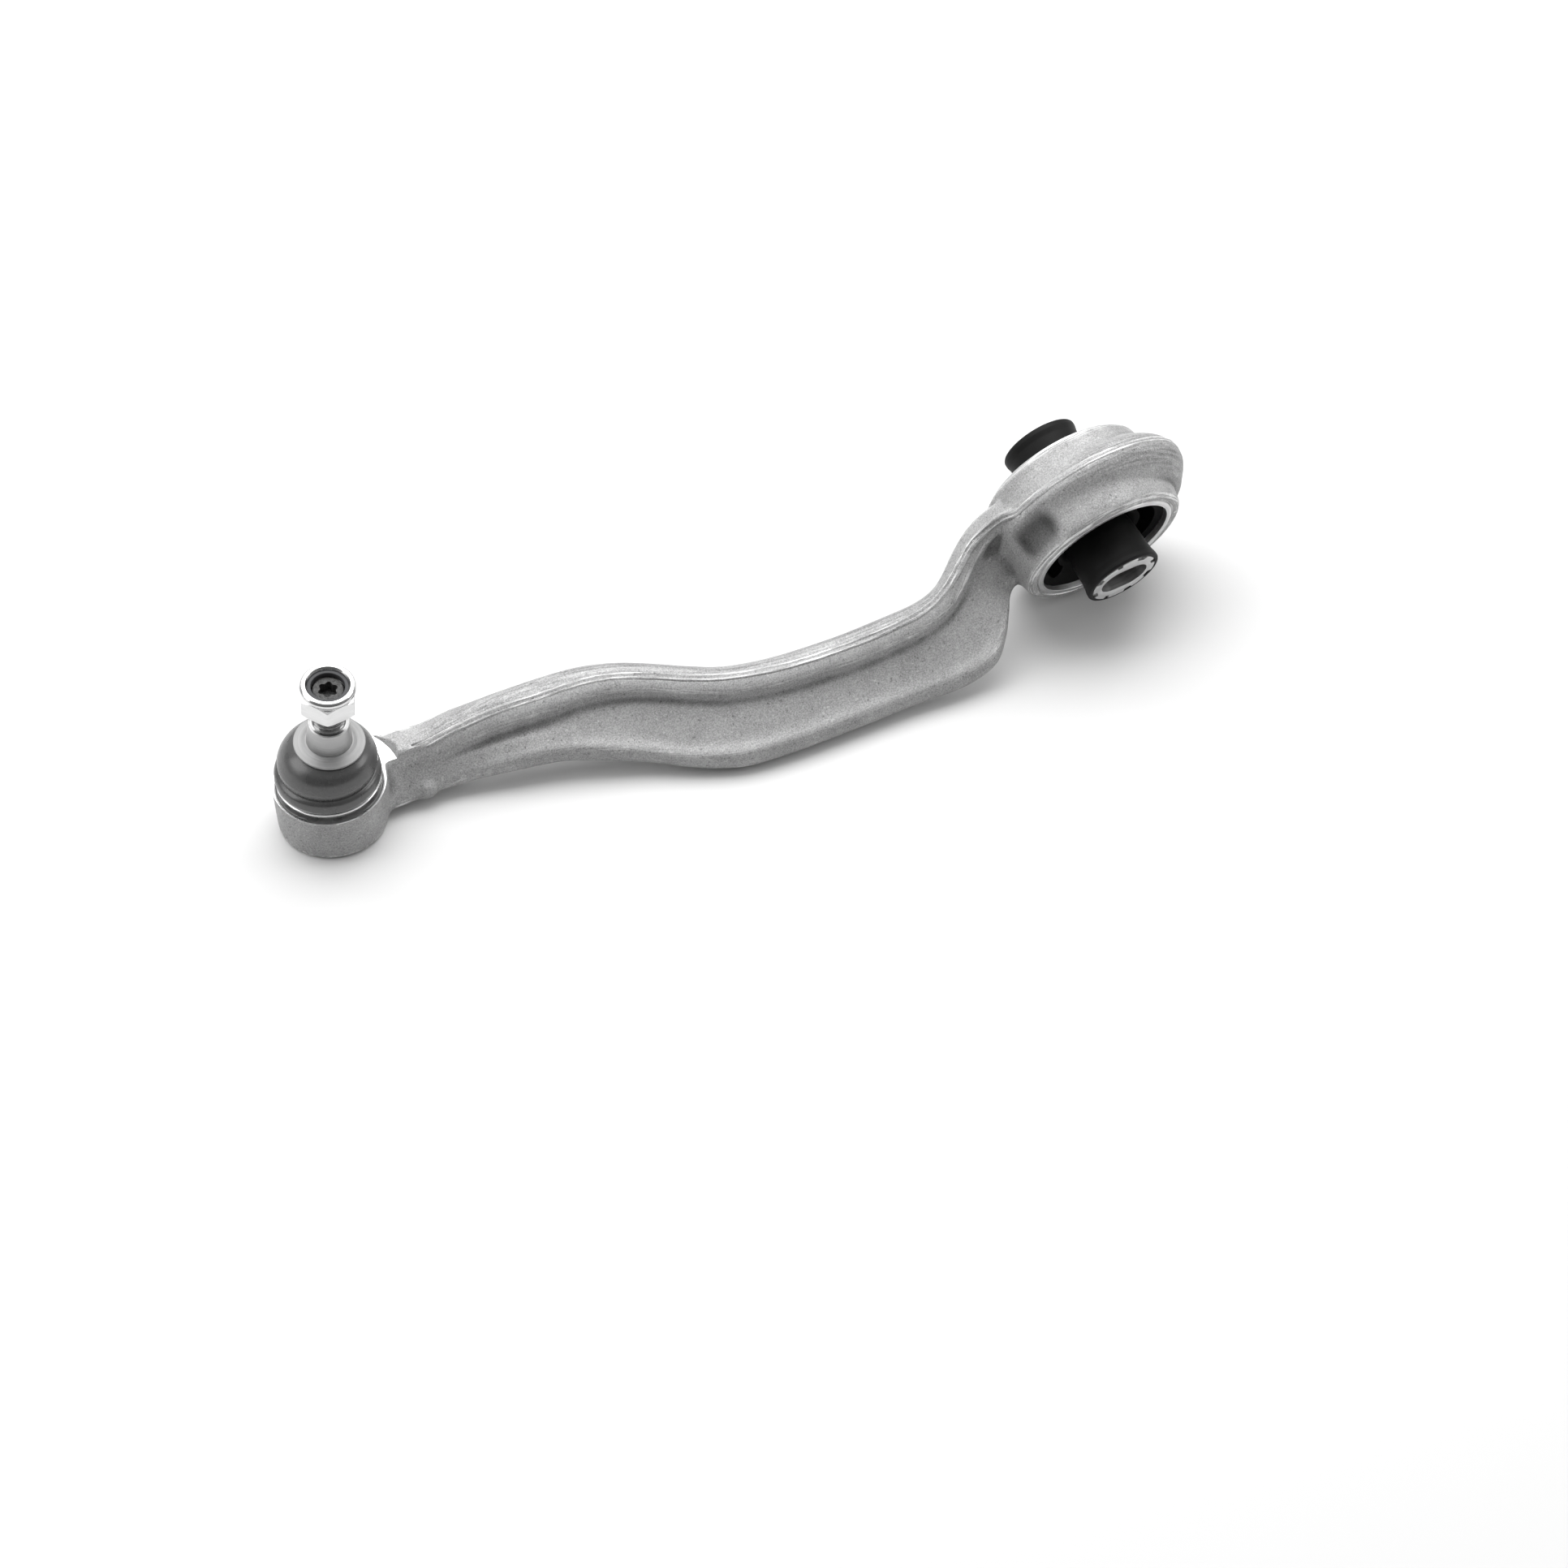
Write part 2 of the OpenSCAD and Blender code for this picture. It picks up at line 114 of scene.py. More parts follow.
def add_world():
    """Bright overhead and behind the part, dark towards the camera, as in a small light tent."""
    world = bpy.data.worlds.new("studio")
    world.use_nodes = True
    tree = world.node_tree
    back = tree.nodes["Background"]
    coords = tree.nodes.new("ShaderNodeTexCoord")
    dot = tree.nodes.new("ShaderNodeVectorMath")
    dot.operation = "DOT_PRODUCT"
    dot.inputs[1].default_value = SKY_FROM
    tree.links.new(coords.outputs["Generated"], dot.inputs[0])
    ramp = tree.nodes.new("ShaderNodeValToRGB")
    ends = ramp.color_ramp.elements
    half = tree.nodes.new("ShaderNodeMapRange")
    half.inputs[1].default_value, half.inputs[2].default_value = -1.0, 1.0
    tree.links.new(dot.outputs["Value"], half.inputs[0])
    for end, (place, level) in zip(ends, (SKY_STOPS[0], SKY_STOPS[-1])):
        end.position, end.color = place, (level, level, level, 1)
    for place, level in SKY_STOPS[1:-1]:
        ends.new(place).color = (level, level, level, 1)
    tree.links.new(half.outputs[0], ramp.inputs[0])
    tree.links.new(ramp.outputs[0], back.inputs[0])
    back.inputs[1].default_value = SKY_STRENGTH
    bpy.context.scene.world = world


def add_stage():
    mesh = bpy.data.meshes.new("floor")
    half = FLOOR_HALF
    level = -BUSH_HEIGHT * MM - FLOOR_GAP
    mesh.from_pydata(
        [(-half, -half, level), (half, -half, level), (half, half, level), (-half, half, level)],
        [], [(0, 1, 2, 3)],
    )
    floor = linked("floor", mesh)
    white = bpy.data.materials.new("floor_white")
    white.use_nodes = True
    shader = white.node_tree.nodes["Principled BSDF"]
    shader.inputs["Base Color"].default_value = (FLOOR_GREY, FLOOR_GREY, FLOOR_GREY, 1)
    shader.inputs["Roughness"].default_value = 0.9
    shader.inputs["Specular IOR Level"].default_value = 0.1
    mesh.materials.append(white)


bpy.context.scene.view_settings.view_transform = "Standard"
add_camera()
add_world()
add_stage()
add_area("key_overhead", (-0.05, 0.62, 1.5), (-0.17, 0, 0), (2.3, 1.4), 44)
add_area("side_left", (-1.5, 0.3, 0.8), (-0.3, 0, 0), (0.9, 1.0), 7)
add_area("side_right", (1.5, -0.5, 0.9), (0.0, 0, 0), (0.9, 0.8), 7)


# ---- material nodes
NOISE_LOW, NOISE_HIGH = 0.3, 0.7


class Paint:
    """A material under construction: each method adds one node and returns its output socket."""

    def __init__(self, name, color, metallic=0.0, roughness=0.5, specular=0.5):
        self.mat = bpy.data.materials.new(name)
        self.mat.use_nodes = True
        self.tree = self.mat.node_tree
        self.shader = self.tree.nodes["Principled BSDF"]
        self.set("Base Color", (*color, 1) if not isinstance(color, float) else (color,) * 3 + (1,))
        self.set("Metallic", metallic)
        self.set("Roughness", roughness)
        self.set("Specular IOR Level", specular)
        self.here = self.node("ShaderNodeTexCoord").outputs["Object"]

    def node(self, kind, **settings):
        made = self.tree.nodes.new(kind)
        for key, value in settings.items():
            setattr(made, key, value)
        return made

    def set(self, socket, value):
        self.feed(self.shader.inputs[socket], value)

    def feed(self, target, value):
        if isinstance(value, bpy.types.NodeSocket):
            self.tree.links.new(value, target)
        elif value is not None:
            target.default_value = value

    def wired(self, kind, inputs, **settings):
        """Adds a node and feeds its inputs, given by number or by name."""
        made = self.node(kind, **settings)
        for key, value in inputs.items():
            self.feed(made.inputs[key], value)
        return made.outputs

    def noise(self, vector, scale, detail=3.0, rough=0.55, distortion=0.0):
        return self.wired("ShaderNodeTexNoise", {
            "Vector": vector, "Scale": scale, "Detail": detail, "Roughness": rough,
            "Distortion": distortion,
        })["Fac"]

    def math(self, operation, a, b=None):
        return self.wired("ShaderNodeMath", {0: a, 1: b}, operation=operation)[0]

    def span(self, value, low, high, to_low=0.0, to_high=1.0):
        inputs = dict(enumerate((value, low, high, to_low, to_high)))
        return self.wired("ShaderNodeMapRange", inputs, clamp=True)[0]

    def vary(self, noise, to_low=0.0, to_high=1.0):
        """Spreads the values that a noise mostly has over the wanted range."""
        return self.span(noise, NOISE_LOW, NOISE_HIGH, to_low, to_high)

    def mix(self, share, a, b):
        return self.wired("ShaderNodeMix", {0: share, 6: a, 7: b}, data_type="RGBA")[2]

    def grey(self, value):
        return self.wired("ShaderNodeCombineColor", {0: value, 1: value, 2: value})[0]

    def attribute(self, name, vector=False):
        made = self.node("ShaderNodeAttribute", attribute_name=name)
        return made.outputs["Vector" if vector else "Fac"]

    def local(self, place):
        """Object coordinates seen from one of the part's own axes, in metres."""
        return self.wired("ShaderNodeMapping", {
            "Vector": self.here, "Location": place.to_translation() * MM, "Rotation": place.to_euler(),
        }, vector_type="TEXTURE")[0]

    def lathe(self, place, wobble=0.02):
        """Coordinates that change across turning marks and hardly at all along them."""
        x, y, z = self.wired("ShaderNodeSeparateXYZ", {0: self.local(place)})
        squares = self.math("ADD", self.math("MULTIPLY", x, x), self.math("MULTIPLY", y, y))
        radius = self.math("SQRT", squares)
        return self.wired("ShaderNodeCombineXYZ", {0: radius, 1: z, 2: self.math("MULTIPLY", x, wobble)})[0]

    def stretched(self, vector, factors):
        return self.wired("ShaderNodeVectorMath", {0: vector, 1: factors}, operation="MULTIPLY")[0]

    def bump(self, height, depth_mm, strength=1.0):
        inputs = {"Height": height, "Distance": depth_mm * MM, "Strength": strength}
        self.set("Normal", self.wired("ShaderNodeBump", inputs)[0])


def forged_aluminium(name, worn):
    p = Paint(name, 0.42, metallic=0.42, roughness=0.62, specular=0.3)
    grain = p.noise(p.here, 1500, 2.0, 0.6)
    fine = p.noise(p.here, 2600, 2.0, 0.5)
    patch = p.noise(p.here, 70, 4.0, 0.6, 0.3)
    speck = p.noise(p.here, 700, 1.0, 0.4)
    flow = p.attribute("flow", vector=True)
    streak = p.noise(p.stretched(flow, (9, 700, 700)), 1.0, 3.0, 0.6)
    scratch = p.noise(p.stretched(flow, (70, 1500, 1500)), 1.0, 2.0, 0.5)
    band = p.attribute("band")
    wear = p.attribute("wear")
    hollow = p.attribute("hollow")
    tone = p.math("ADD", p.span(grain, 0.30, 0.72, 0.25, 0.42), p.vary(fine, -0.03, 0.03))
    tone = p.math("ADD", tone, p.vary(patch, -0.035, 0.035))
    tone = p.math("ADD", tone, p.span(speck, 0.66, 0.76, 0.0, 0.10))
    tone = p.math("SUBTRACT", tone, p.span(speck, 0.33, 0.25, 0.0, 0.12))
    streaks = p.math("MULTIPLY", band, p.span(streak, 0.34, 0.66, -0.15, 0.08))
    tone = p.math("ADD", tone, streaks)
    marks = p.math("MULTIPLY", wear, p.span(scratch, 0.44, 0.58, 0.0, 1.0))
    tone = p.math("ADD", tone, p.math("MULTIPLY", marks, worn))
    # Painted shade: darkens the colour by up to 90% in creases and in the pocket beside the eye.
    tone = p.math("MULTIPLY", tone, p.math("SUBTRACT", 1.0, p.math("MULTIPLY", hollow, 0.90)))
    p.set("Base Color", p.grey(p.math("MAXIMUM", tone, 0.04)))
    rough = p.math("SUBTRACT", p.vary(grain, 0.70, 0.56), p.math("MULTIPLY", marks, 0.16))
    p.set("Roughness", rough)
    height = p.math("ADD", p.math("MULTIPLY", grain, 0.7), p.math("MULTIPLY", fine, 0.3))
    height = p.math("ADD", height, p.math("MULTIPLY", p.math("MULTIPLY", streak, band), 0.5))
    p.bump(height, 0.13, 0.65)
    return p.mat


def turned(name, place, color, metallic=1.0, roughness=0.3, lines=1800, depth=0.02, spread=0.08):
    p = Paint(name, color, metallic, roughness)
    rings = p.noise(p.lathe(place), lines, 3.0, 0.6)
    cloud = p.noise(p.here, 160, 3.0, 0.6)
    shift = p.math("ADD", p.vary(rings, -spread, spread), p.vary(cloud, -spread / 2, spread / 2))
    base = p.math("ADD", shift, color)
    p.set("Base Color", p.grey(p.math("MAXIMUM", base, 0.02)))
    p.set("Roughness", p.math("ADD", p.vary(cloud, -0.05, 0.05), roughness))
    p.bump(rings, depth)
    return p.mat


def rubber(name, color, roughness, grain=1500, depth=0.03, spread=0.35, specular=0.5):
    p = Paint(name, color, 0.0, roughness, specular)
    skin = p.noise(p.here, grain, 3.0, 0.6)
    cloud = p.noise(p.here, 90, 4.0, 0.6, 0.4)
    dust = p.span(p.noise(p.here, 420, 5.0, 0.7), 0.60, 0.80, 0.0, 0.6 * color)
    tone = p.math("ADD", p.vary(cloud, color * (1 - spread), color * (1 + spread)), dust)
    p.set("Base Color", p.grey(tone))
    p.set("Roughness", p.vary(cloud, roughness - 0.06, roughness + 0.08))
    p.bump(skin, depth)
    return p.mat


def cast_plastic(name, color, roughness=0.5):
    p = Paint(name, color, 0.0, roughness)
    cloud = p.noise(p.here, 220, 4.0, 0.6)
    dark = tuple(c * 0.86 for c in color) + (1,)
    light = tuple(min(1, c * 1.08) for c in color) + (1,)
    p.set("Base Color", p.mix(p.vary(cloud), dark, light))
    p.set("Roughness", p.vary(cloud, roughness - 0.06, roughness + 0.06))
    p.bump(p.noise(p.here, 1800, 2.0), 0.02)
    return p.mat


# ---- mesh helpers
def new_object(name, points, faces, place=None, smooth=35.0):
    """Points in millimetres in the frame `place`; the object keeps them in metres at the origin."""
    mesh = bpy.data.meshes.new(name)
    place = place or Matrix.Identity(4)
    mesh.from_pydata([tuple((place @ Vector(p)) * MM) for p in points], [], faces)
    mesh.update()
    obj = linked(name, mesh)
    bm = bmesh.new()
    bm.from_mesh(mesh)
    bmesh.ops.recalc_face_normals(bm, faces=bm.faces)
    bm.to_mesh(mesh)
    bm.free()
    soften(obj, smooth)
    return obj


def soften(obj, angle):
    mesh = obj.data
    mesh.polygons.foreach_set("use_smooth", [True] * len(mesh.polygons))
    limit = math.radians(angle)
    bm = bmesh.new()
    bm.from_mesh(mesh)
    for edge in bm.edges:
        edge.smooth = not (edge.is_manifold and edge.calc_face_angle(0) > limit)
    bm.to_mesh(mesh)
    bm.free()


def rounded(points, closed=True, steps=4):
    """Corners given as (r, z, radius) become arcs of that radius."""
    out = []
    count = len(points)
    for i, p in enumerate(points):
        here = Vector(p[:2])
        radius = p[2] if len(p) > 2 else 0.0
        if radius <= 0 or (not closed and i in (0, count - 1)):
            out.append(tuple(here))
            continue
        before, after = Vector(points[i - 1][:2]), Vector(points[(i + 1) % count][:2])
        a, b = (before - here), (after - here)
        la, lb = a.length, b.length
        a.normalize()
        b.normalize()
        half = math.acos(max(-1, min(1, a.dot(b)))) / 2
        if half < 1e-3 or half > math.pi / 2 - 1e-3:
            out.append(tuple(here))
            continue
        cut = min(radius / math.tan(half), 0.49 * la, 0.49 * lb)
        radius = cut * math.tan(half)
        centre = here + (a + b).normalized() * (radius / math.sin(half))
        start, end = here + a * cut - centre, here + b * cut - centre
        swing = start.angle_signed(end)
        for k in range(steps + 1):
            spoke = start.copy()
            spoke.rotate(Matrix.Rotation(-swing * k / steps, 2))
            out.append(tuple(centre + spoke))
    return out


def row_faces(rows, sides, closed):
    """Quads between neighbouring rows of point numbers, and triangles where a row is a pole."""
    faces = []
    for j in range(len(rows) if closed else len(rows) - 1):
        a, b = rows[j], rows[(j + 1) % len(rows)]
        for k in range(sides):
            n = (k + 1) % sides
            corners = []
            for v in (a[k], b[k], b[n], a[n]):
                if v not in corners:
                    corners.append(v)
            if len(corners) > 2:
                faces.append(corners)
    return faces


def plain_rows(count, sides):
    return [list(range(j * sides, (j + 1) * sides)) for j in range(count)]


def revolve(name, profile, place, sides=128, steps=4):
    """Closed profile of (r, z[, corner radius]) turned about the frame's Z; r = 0 ends are poles."""
    closed = all(p[0] > 1e-6 for p in profile)
    outline = rounded(profile, closed, steps)
    points, rows = [], []
    for r, z in outline:
        if r < 1e-6:
            rows.append([len(points)] * sides)
            points.append((0, 0, z))
        else:
            rows.append(list(range(len(points), len(points) + sides)))
            points += [(*polar(r, a), z) for a in circle(sides)]
    return new_object(name, points, row_faces(rows, sides, closed), place)


def prism(name, bottom, top, place, smooth=35.0):
    """Solid between two outlines with the same number of points."""
    count = len(bottom)
    faces = [list(range(count))[::-1], list(range(count, 2 * count))]
    faces += [[k, (k + 1) % count, count + (k + 1) % count, count + k] for k in range(count)]
    return new_object(name, bottom + top, faces, place, smooth)


def extrude(name, outline, z0, z1, place):
    bottom, top = [[(x, y, z) for x, y in outline] for z in (z0, z1)]
    return prism(name, bottom, top, place, 30.0)


def apply_modifiers(obj):
    bpy.context.view_layer.update()
    graph = bpy.context.evaluated_depsgraph_get()
    mesh = bpy.data.meshes.new_from_object(obj.evaluated_get(graph))
    obj.modifiers.clear()
    old = obj.data
    obj.data = mesh
    bpy.data.meshes.remove(old)


def remove(obj):
    mesh = obj.data
    bpy.data.objects.remove(obj)
    bpy.data.meshes.remove(mesh)


def paint(mesh, material):
    mesh.materials.clear()
    mesh.materials.append(material)


def remesh(obj):
    mod = obj.modifiers.new("remesh", "REMESH")
    mod.mode, mod.voxel_size, mod.adaptivity = "VOXEL", VOXEL * MM, 0.0
    apply_modifiers(obj)


def cut(obj, tools, operation="DIFFERENCE"):
    for tool in tools:
        mod = obj.modifiers.new("cut", "BOOLEAN")
        mod.operation, mod.solver, mod.object = operation, "EXACT", tool
        mod.material_mode = "TRANSFER"
        apply_modifiers(obj)
    for tool in tools:
        remove(tool)


def bevel(obj, width, angle=35.0, segments=2):
    mod = obj.modifiers.new("bevel", "BEVEL")
    mod.width, mod.segments, mod.limit_method = width * MM, segments, "ANGLE"
    mod.angle_limit = math.radians(angle)
    apply_modifiers(obj)


def dress(obj, body, material, slot, *replaced):
    if material is not None:
        if len(obj.data.materials) == 0:
            obj.data.materials.append(material)
        else:
            obj.data.materials[0] = material
    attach(obj, body)
    if replaced:
        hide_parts(*replaced)
    return obj


def coords(mesh):
    out = np.empty(len(mesh.vertices) * 3)
    mesh.vertices.foreach_get("co", out)
    return out.reshape(-1, 3) / MM


def set_coords(mesh, points):
    mesh.vertices.foreach_set("co", (points * MM).ravel())
    mesh.update()


# ---- beam, as in the CAD
# Each station: crest point, bead point, share of the recess, share of the thickness, rise of the
# crest's back edge, and how far the section leans.
WEB_RECESS, BEAM_THICKNESS = 3.2, 14.0
STATIONS = [
    ((16, 3, 22.5), (16, -10, 9), 0, 1.05, 0, 0.6),
    ((30, 2.5, 23.4), (30, -9, 8.5), 0, 0.93, 0.4, 0.6),
    ((44, 2, 25.7), (44, -8.5, 9.5), 0.1, 0.88, 1.2, 0.5),
    ((58, 2.6, 29), (58, -9.5, 12), 0.45, 0.93, 2.8, 0.35),
    ((75, 2.3, 32.3), (76, -12.5, 15.5), 0.8, 1, 5.2, 0.15),
    ((96, 0.8, 35), (98, -16.5, 18), 1, 1, 7, 0),
    ((115, -0.3, 37), (118, -23, 16.5), 1, 1, 6.5, 0),
    ((130, -3, 37), (133, -28.5, 14.5), 1, 1, 6, 0),
    ((145, -8.5, 36.3), (148, -36, 12.5), 1, 1, 5.5, 0),
    ((160, -15, 35.3), (160, -41, 12), 1, 1, 5, 0),
    ((176, -20, 34.5), (174, -44.8, 12), 1, 0.96, 4.5, 0),
    ((198, -23.2, 34), (197, -45.5, 12), 1, 0.94, 4.6, 0),
    ((226, -23.3, 34), (225, -44, 12), 1, 0.93, 4.6, 0),
    ((248, -22.5, 35.5), (253, -42.3, 12.5), 1, 0.92, 4.4, 0),
    ((266, -20.5, 38), (276, -42, 14), 1, 0.9, 3.4, 0),
    ((278, -16.2, 42), (292, -38.5, 17.5), 1, 0.84, 1.6, 0),
    ((285.8, -12, 48), (301, -30.5, 22), 1, 0.76, 0.4, 0),
    ((293.6, -7.2, 54.3), (306.5, -22.5, 26.5), 1, 0.72, 0, 0),
    ((303.8, -4.5, 62), (311, -16, 31.5), 1, 0.76, -0.5, 0),
    ((316.3, -6.2, 69.8), (318, -14, 38), 1, 0.82, -1, 0),
    ((328, -8.5, 76), (326, -14, 45), 0.4, 0.8, -2, 0),
]
LAST = len(STATIONS) - 1


def blend4(p0, p1, p2, p3, t):
    return 0.5 * (2 * p1 + (p2 - p0) * t + (2 * p0 - 5 * p1 + 4 * p2 - p3) * t * t
                  + (3 * p1 - p0 - 3 * p2 + p3) * t * t * t)


def spline(rows, i, t):
    """Smooth curve through the rows, at the share t of the way from row i to the next."""
    near = [np.array(rows[max(0, min(len(rows) - 1, i + d))], float) for d in (-1, 0, 1, 2)]
    return blend4(*near, t)


def at(u, k):
    i = min(LAST - 1, int(math.floor(u)))
    return spline([station[k] for station in STATIONS], i, u - i)


def unit(v):
    return v / np.linalg.norm(v)


def middle(u):
    return (at(u, 0) + at(u, 1)) / 2


def path_dir(u):
    return unit(middle(min(LAST, u + 0.4)) - middle(max(0, u - 0.4)))


def section(l, r, k, rise):
    web, deep = -WEB_RECESS * r, -BEAM_THICKNESS * k
    back = deep + 3.2 * min(1, r + 0.3)
    upper = max(l - 14, 7.6)
    return [
        (l + rise, 0.5 * deep), (l + 0.75 * rise, 0.25 * deep), (l + 0.4 * rise, -1.2), (l, 0),
        (l - 4, 1), (l - 6.8, 0.9), (l - 8.8, 0.3 + 0.35 * web), (l - 11, 0.9 * web),
        (upper, web), (7, 0.62 * web), (3.4, 0.34 * web), (0.6, 0.02 * web),
        (-1.6, -0.5), (-4.4, -2.4), (-6.2, -5.5), (-5.4, 0.7 * deep),
        (-2.2, 0.88 * deep), (3, 0.92 * deep), (6.5, back), (upper, back),
        (l - 8, 0.95 * deep), (l - 2, 1.08 * deep), (l + 0.5 * rise, deep),
        (l + 0.9 * rise, 0.78 * deep),
    ]


def section_frame(u):
    crest, bead = at(u, 0), at(u, 1)
    along = unit(crest - bead)
    out = unit(np.cross(path_dir(u), along) - np.array((0, 0, at(u, 5))))
    return crest, bead, along, out


def beam_rings(per_station, per_corner):
    rings = []
    for j in range(LAST * per_station + 1):
        u = j / per_station
        crest, bead, along, out = section_frame(u)
        length = float(np.linalg.norm(crest - bead))
        corners = section(length, float(at(u, 2)), float(at(u, 3)), float(at(u, 4)))
        ring = []
        count = len(corners)
        for i in range(count):
            near = [np.array(corners[(i + d) % count]) for d in (-1, 0, 1, 2)]
            for s in range(per_corner):
                a, b = blend4(*near, s / per_corner)
                ring.append(bead + along * a + out * b)
        rings.append(ring)
    return rings


def loft(name, rings, place):
    """Closed skin through rings of points, with a fan at each end."""
    sides = len(rings[0])
    points = [tuple(p) for ring in rings for p in ring]
    points += [tuple(np.mean(rings[0], 0)), tuple(np.mean(rings[-1], 0))]
    first = len(rings) * sides
    faces = row_faces(plain_rows(len(rings), sides), sides, False)
    for i in range(sides):
        n = (i + 1) % sides
        z = (len(rings) - 1) * sides
        faces += [[first, i, n], [first + 1, z + n, z + i]]
    return new_object(name, points, faces, place)


# ---- arm
HOUSING_R, RIM = 24.25, 23.3
NECK_R, NECK_TOP = 19.3, 30.5
SPOT_FACE_R = 31.0
EYE_R, EYE_HALF, EYE_REAR = 34.0, 21.3, -19.8
RIB_SHIFT = (3.9, -2.2, -1)
ROOT_LUMP = (40.2, -5.4, 7.4)
POCKET_R, POCKET_FROM, POCKET_TO = 8.5, 141, 158
POCKET_SEAT, POCKET_ENDS = (47.5, 12), 9
DENT, DENT_NORMAL = (-38.1, -9.7, 23.7), (-0.83, -0.09, 0.55)
DENT_HALVES, DENT_DEPTH = (1.5, 2.8), 0.9
VOXEL = 0.9
EYE_CENTRE = np.array((REACH, 0, BUSH_HEIGHT))
BUSH_SIDE, BUSH_UP, BUSH_AXIS = [np.array(BUSH.to_3x3() @ Vector(v)) for v in np.eye(3).tolist()]
FLASH_BACK = 1.9


def bush_point(radius, angle, along):
    return np.array(BUSH @ Vector((*polar(radius, math.radians(angle)), along)))


def rib_point(radius, angle):
    """Point near the rib's crest, where the flash line looks for the surface."""
    x, y = polar(radius, math.radians(angle))
    spot = (x + RIB_SHIFT[0], y + RIB_SHIFT[1], RIB_SHIFT[2] - FLASH_BACK)
    return np.array(BUSH @ Vector(spot)) + EYE_CENTRE


def join(objects, name):
    bm = bmesh.new()
    for obj in objects:
        bm.from_mesh(obj.data)
    mesh = bpy.data.meshes.new(name)
    bm.to_mesh(mesh)
    bm.free()
    for obj in objects:
        remove(obj)
    return linked(name, mesh)


def quad_normals(points, quads):
    a, b, c, d = [points[quads[:, k]] for k in range(4)]
    face = np.cross(c - a, d - b)
    out = np.zeros_like(points)
    for corner in range(4):
        for k in range(3):
            out[:, k] += np.bincount(quads[:, corner], face[:, k], len(points))
    return out / np.maximum(np.linalg.norm(out, axis=1), 1e-12)[:, None]


def neighbours(mesh):
    """Each edge's two points, and the number of edges at each point."""
    pairs = np.empty(len(mesh.edges) * 2, np.int64)
    mesh.edges.foreach_get("vertices", pairs)
    degree = np.bincount(pairs, minlength=len(mesh.vertices)).astype(float)
    return pairs.reshape(-1, 2), degree


def pull(points, pairs, degree):
    """Vector from each point to the mean of its neighbours."""
    a, b = pairs[:, 0], pairs[:, 1]
    out = np.empty_like(points)
    count = len(points)
    for k in range(points.shape[1]):
        out[:, k] = np.bincount(a, points[b, k], count) + np.bincount(b, points[a, k], count)
    return out / degree[:, None] - points


def smoothstep(x, low, high):
    t = np.clip((x - low) / (high - low), 0, 1)
    return t * t * (3 - 2 * t)


def ball_profile(radius, steps=24):
    turns = [math.pi * k / steps for k in range(1, steps)]
    arc = [(radius * math.sin(a), -radius * math.cos(a)) for a in turns]
    return [(0.0, -radius)] + arc + [(0.0, radius)]


def pocket_gap(points):
    """Distance of each point from the pocket's curved middle line."""
    radius, along = POCKET_SEAT
    line = [bush_point(radius, a, along) for a in np.linspace(POCKET_FROM, POCKET_TO, 9)]
    return np.min([np.linalg.norm(points - spot, axis=1) for spot in line], axis=0)


def pocket_tool():
    """Sausage-shaped cutter for the pocket between web, rib and front shell."""
    sides, steps, rings = 40, 36, []
    radius, along = POCKET_SEAT
    for j in range(1, steps):
        t = j / steps
        angle = POCKET_FROM - POCKET_ENDS + (POCKET_TO - POCKET_FROM + 2 * POCKET_ENDS) * t
        size = POCKET_R * math.sqrt(max(0.02, 1 - (2 * t - 1) ** 4))
        ring = [polar(size, a) for a in circle(sides)]
        rings.append([bush_point(radius + x, angle, along + y) for x, y in ring])
    return loft("pocket_tool", rings, Matrix.Identity(4))


def gusset():
    """Wedge that spreads the top of the beam into the housing on its rear side."""
    outline = [(0, 20), (12, 20.5), (22, 18.3), (31, 16.6), (44, 14.4), (60, 11), (60, 2), (0, 2)]
    bottom = [(x, y - 2.5, 7 + 0.02 * x) for x, y in outline]
    top = [(x, y, 22.6 + 0.12 * max(0, x - 16)) for x, y in outline]
    return prism("gusset", bottom, top, BALL_BASE)


def arm_blank():
    shapes = [loft("beam", beam_rings(8, 3), BALL_BASE)]
    shapes.append(revolve("housing", [
        (0, 0), (HOUSING_R - 1.6, 0, 1.2), (HOUSING_R - 0.5, 1.4, 1.5), (HOUSING_R, RIM - 0.2),
        (HOUSING_R, RIM + 1.5), (NECK_R, RIM + 1.6), (NECK_R, NECK_TOP), (0, NECK_TOP),
    ], BALL_BASE, 160))
    shapes.append(revolve("eye", [
        (0, EYE_REAR), (36.2, EYE_REAR, 1.2), (37.6, EYE_REAR + 1.8, 3), (38.3, -14.8, 4),
        (39.2, -11.5, 3), (40.6, -10, 3), (41, 8, 3), (40, 11, 4), (39.4, 16, 4),
        (38.9, EYE_HALF - 2, 3), (37.6, EYE_HALF, 1.5), (0, EYE_HALF),
    ], BUSH, 200, 5))
    shapes.append(revolve("rib", [
        (0, -12.5), (36, -12.5), (39.6, -10.8, 3), (42.9, -8.4, 3), (45.7, -5.8, 2), (47.5, -3, 1.5),
        (48.3, 0.5, 2), (47.9, 3.5, 1.5), (46.2, 6.4, 3), (43.8, 9.4, 4), (41.4, 12.6, 3), (36, 14),
        (0, 14),
    ], BUSH @ Matrix.Translation(RIB_SHIFT), 200, 5))
    lump = BALL_BASE @ Matrix.Translation(ROOT_LUMP) @ Matrix.Diagonal((1.1, 1, 1, 1))
    shapes.append(revolve("lump", ball_profile(5.2), lump, 48))
    spur = BALL_BASE @ Matrix.Translation((34, -3.8, 4.8))
    shapes.append(revolve("spur", ball_profile(3.8), spur, 48))
    shapes.append(gusset())
    blank = join(shapes, "arm_body")
    remesh(blank)
    return blank


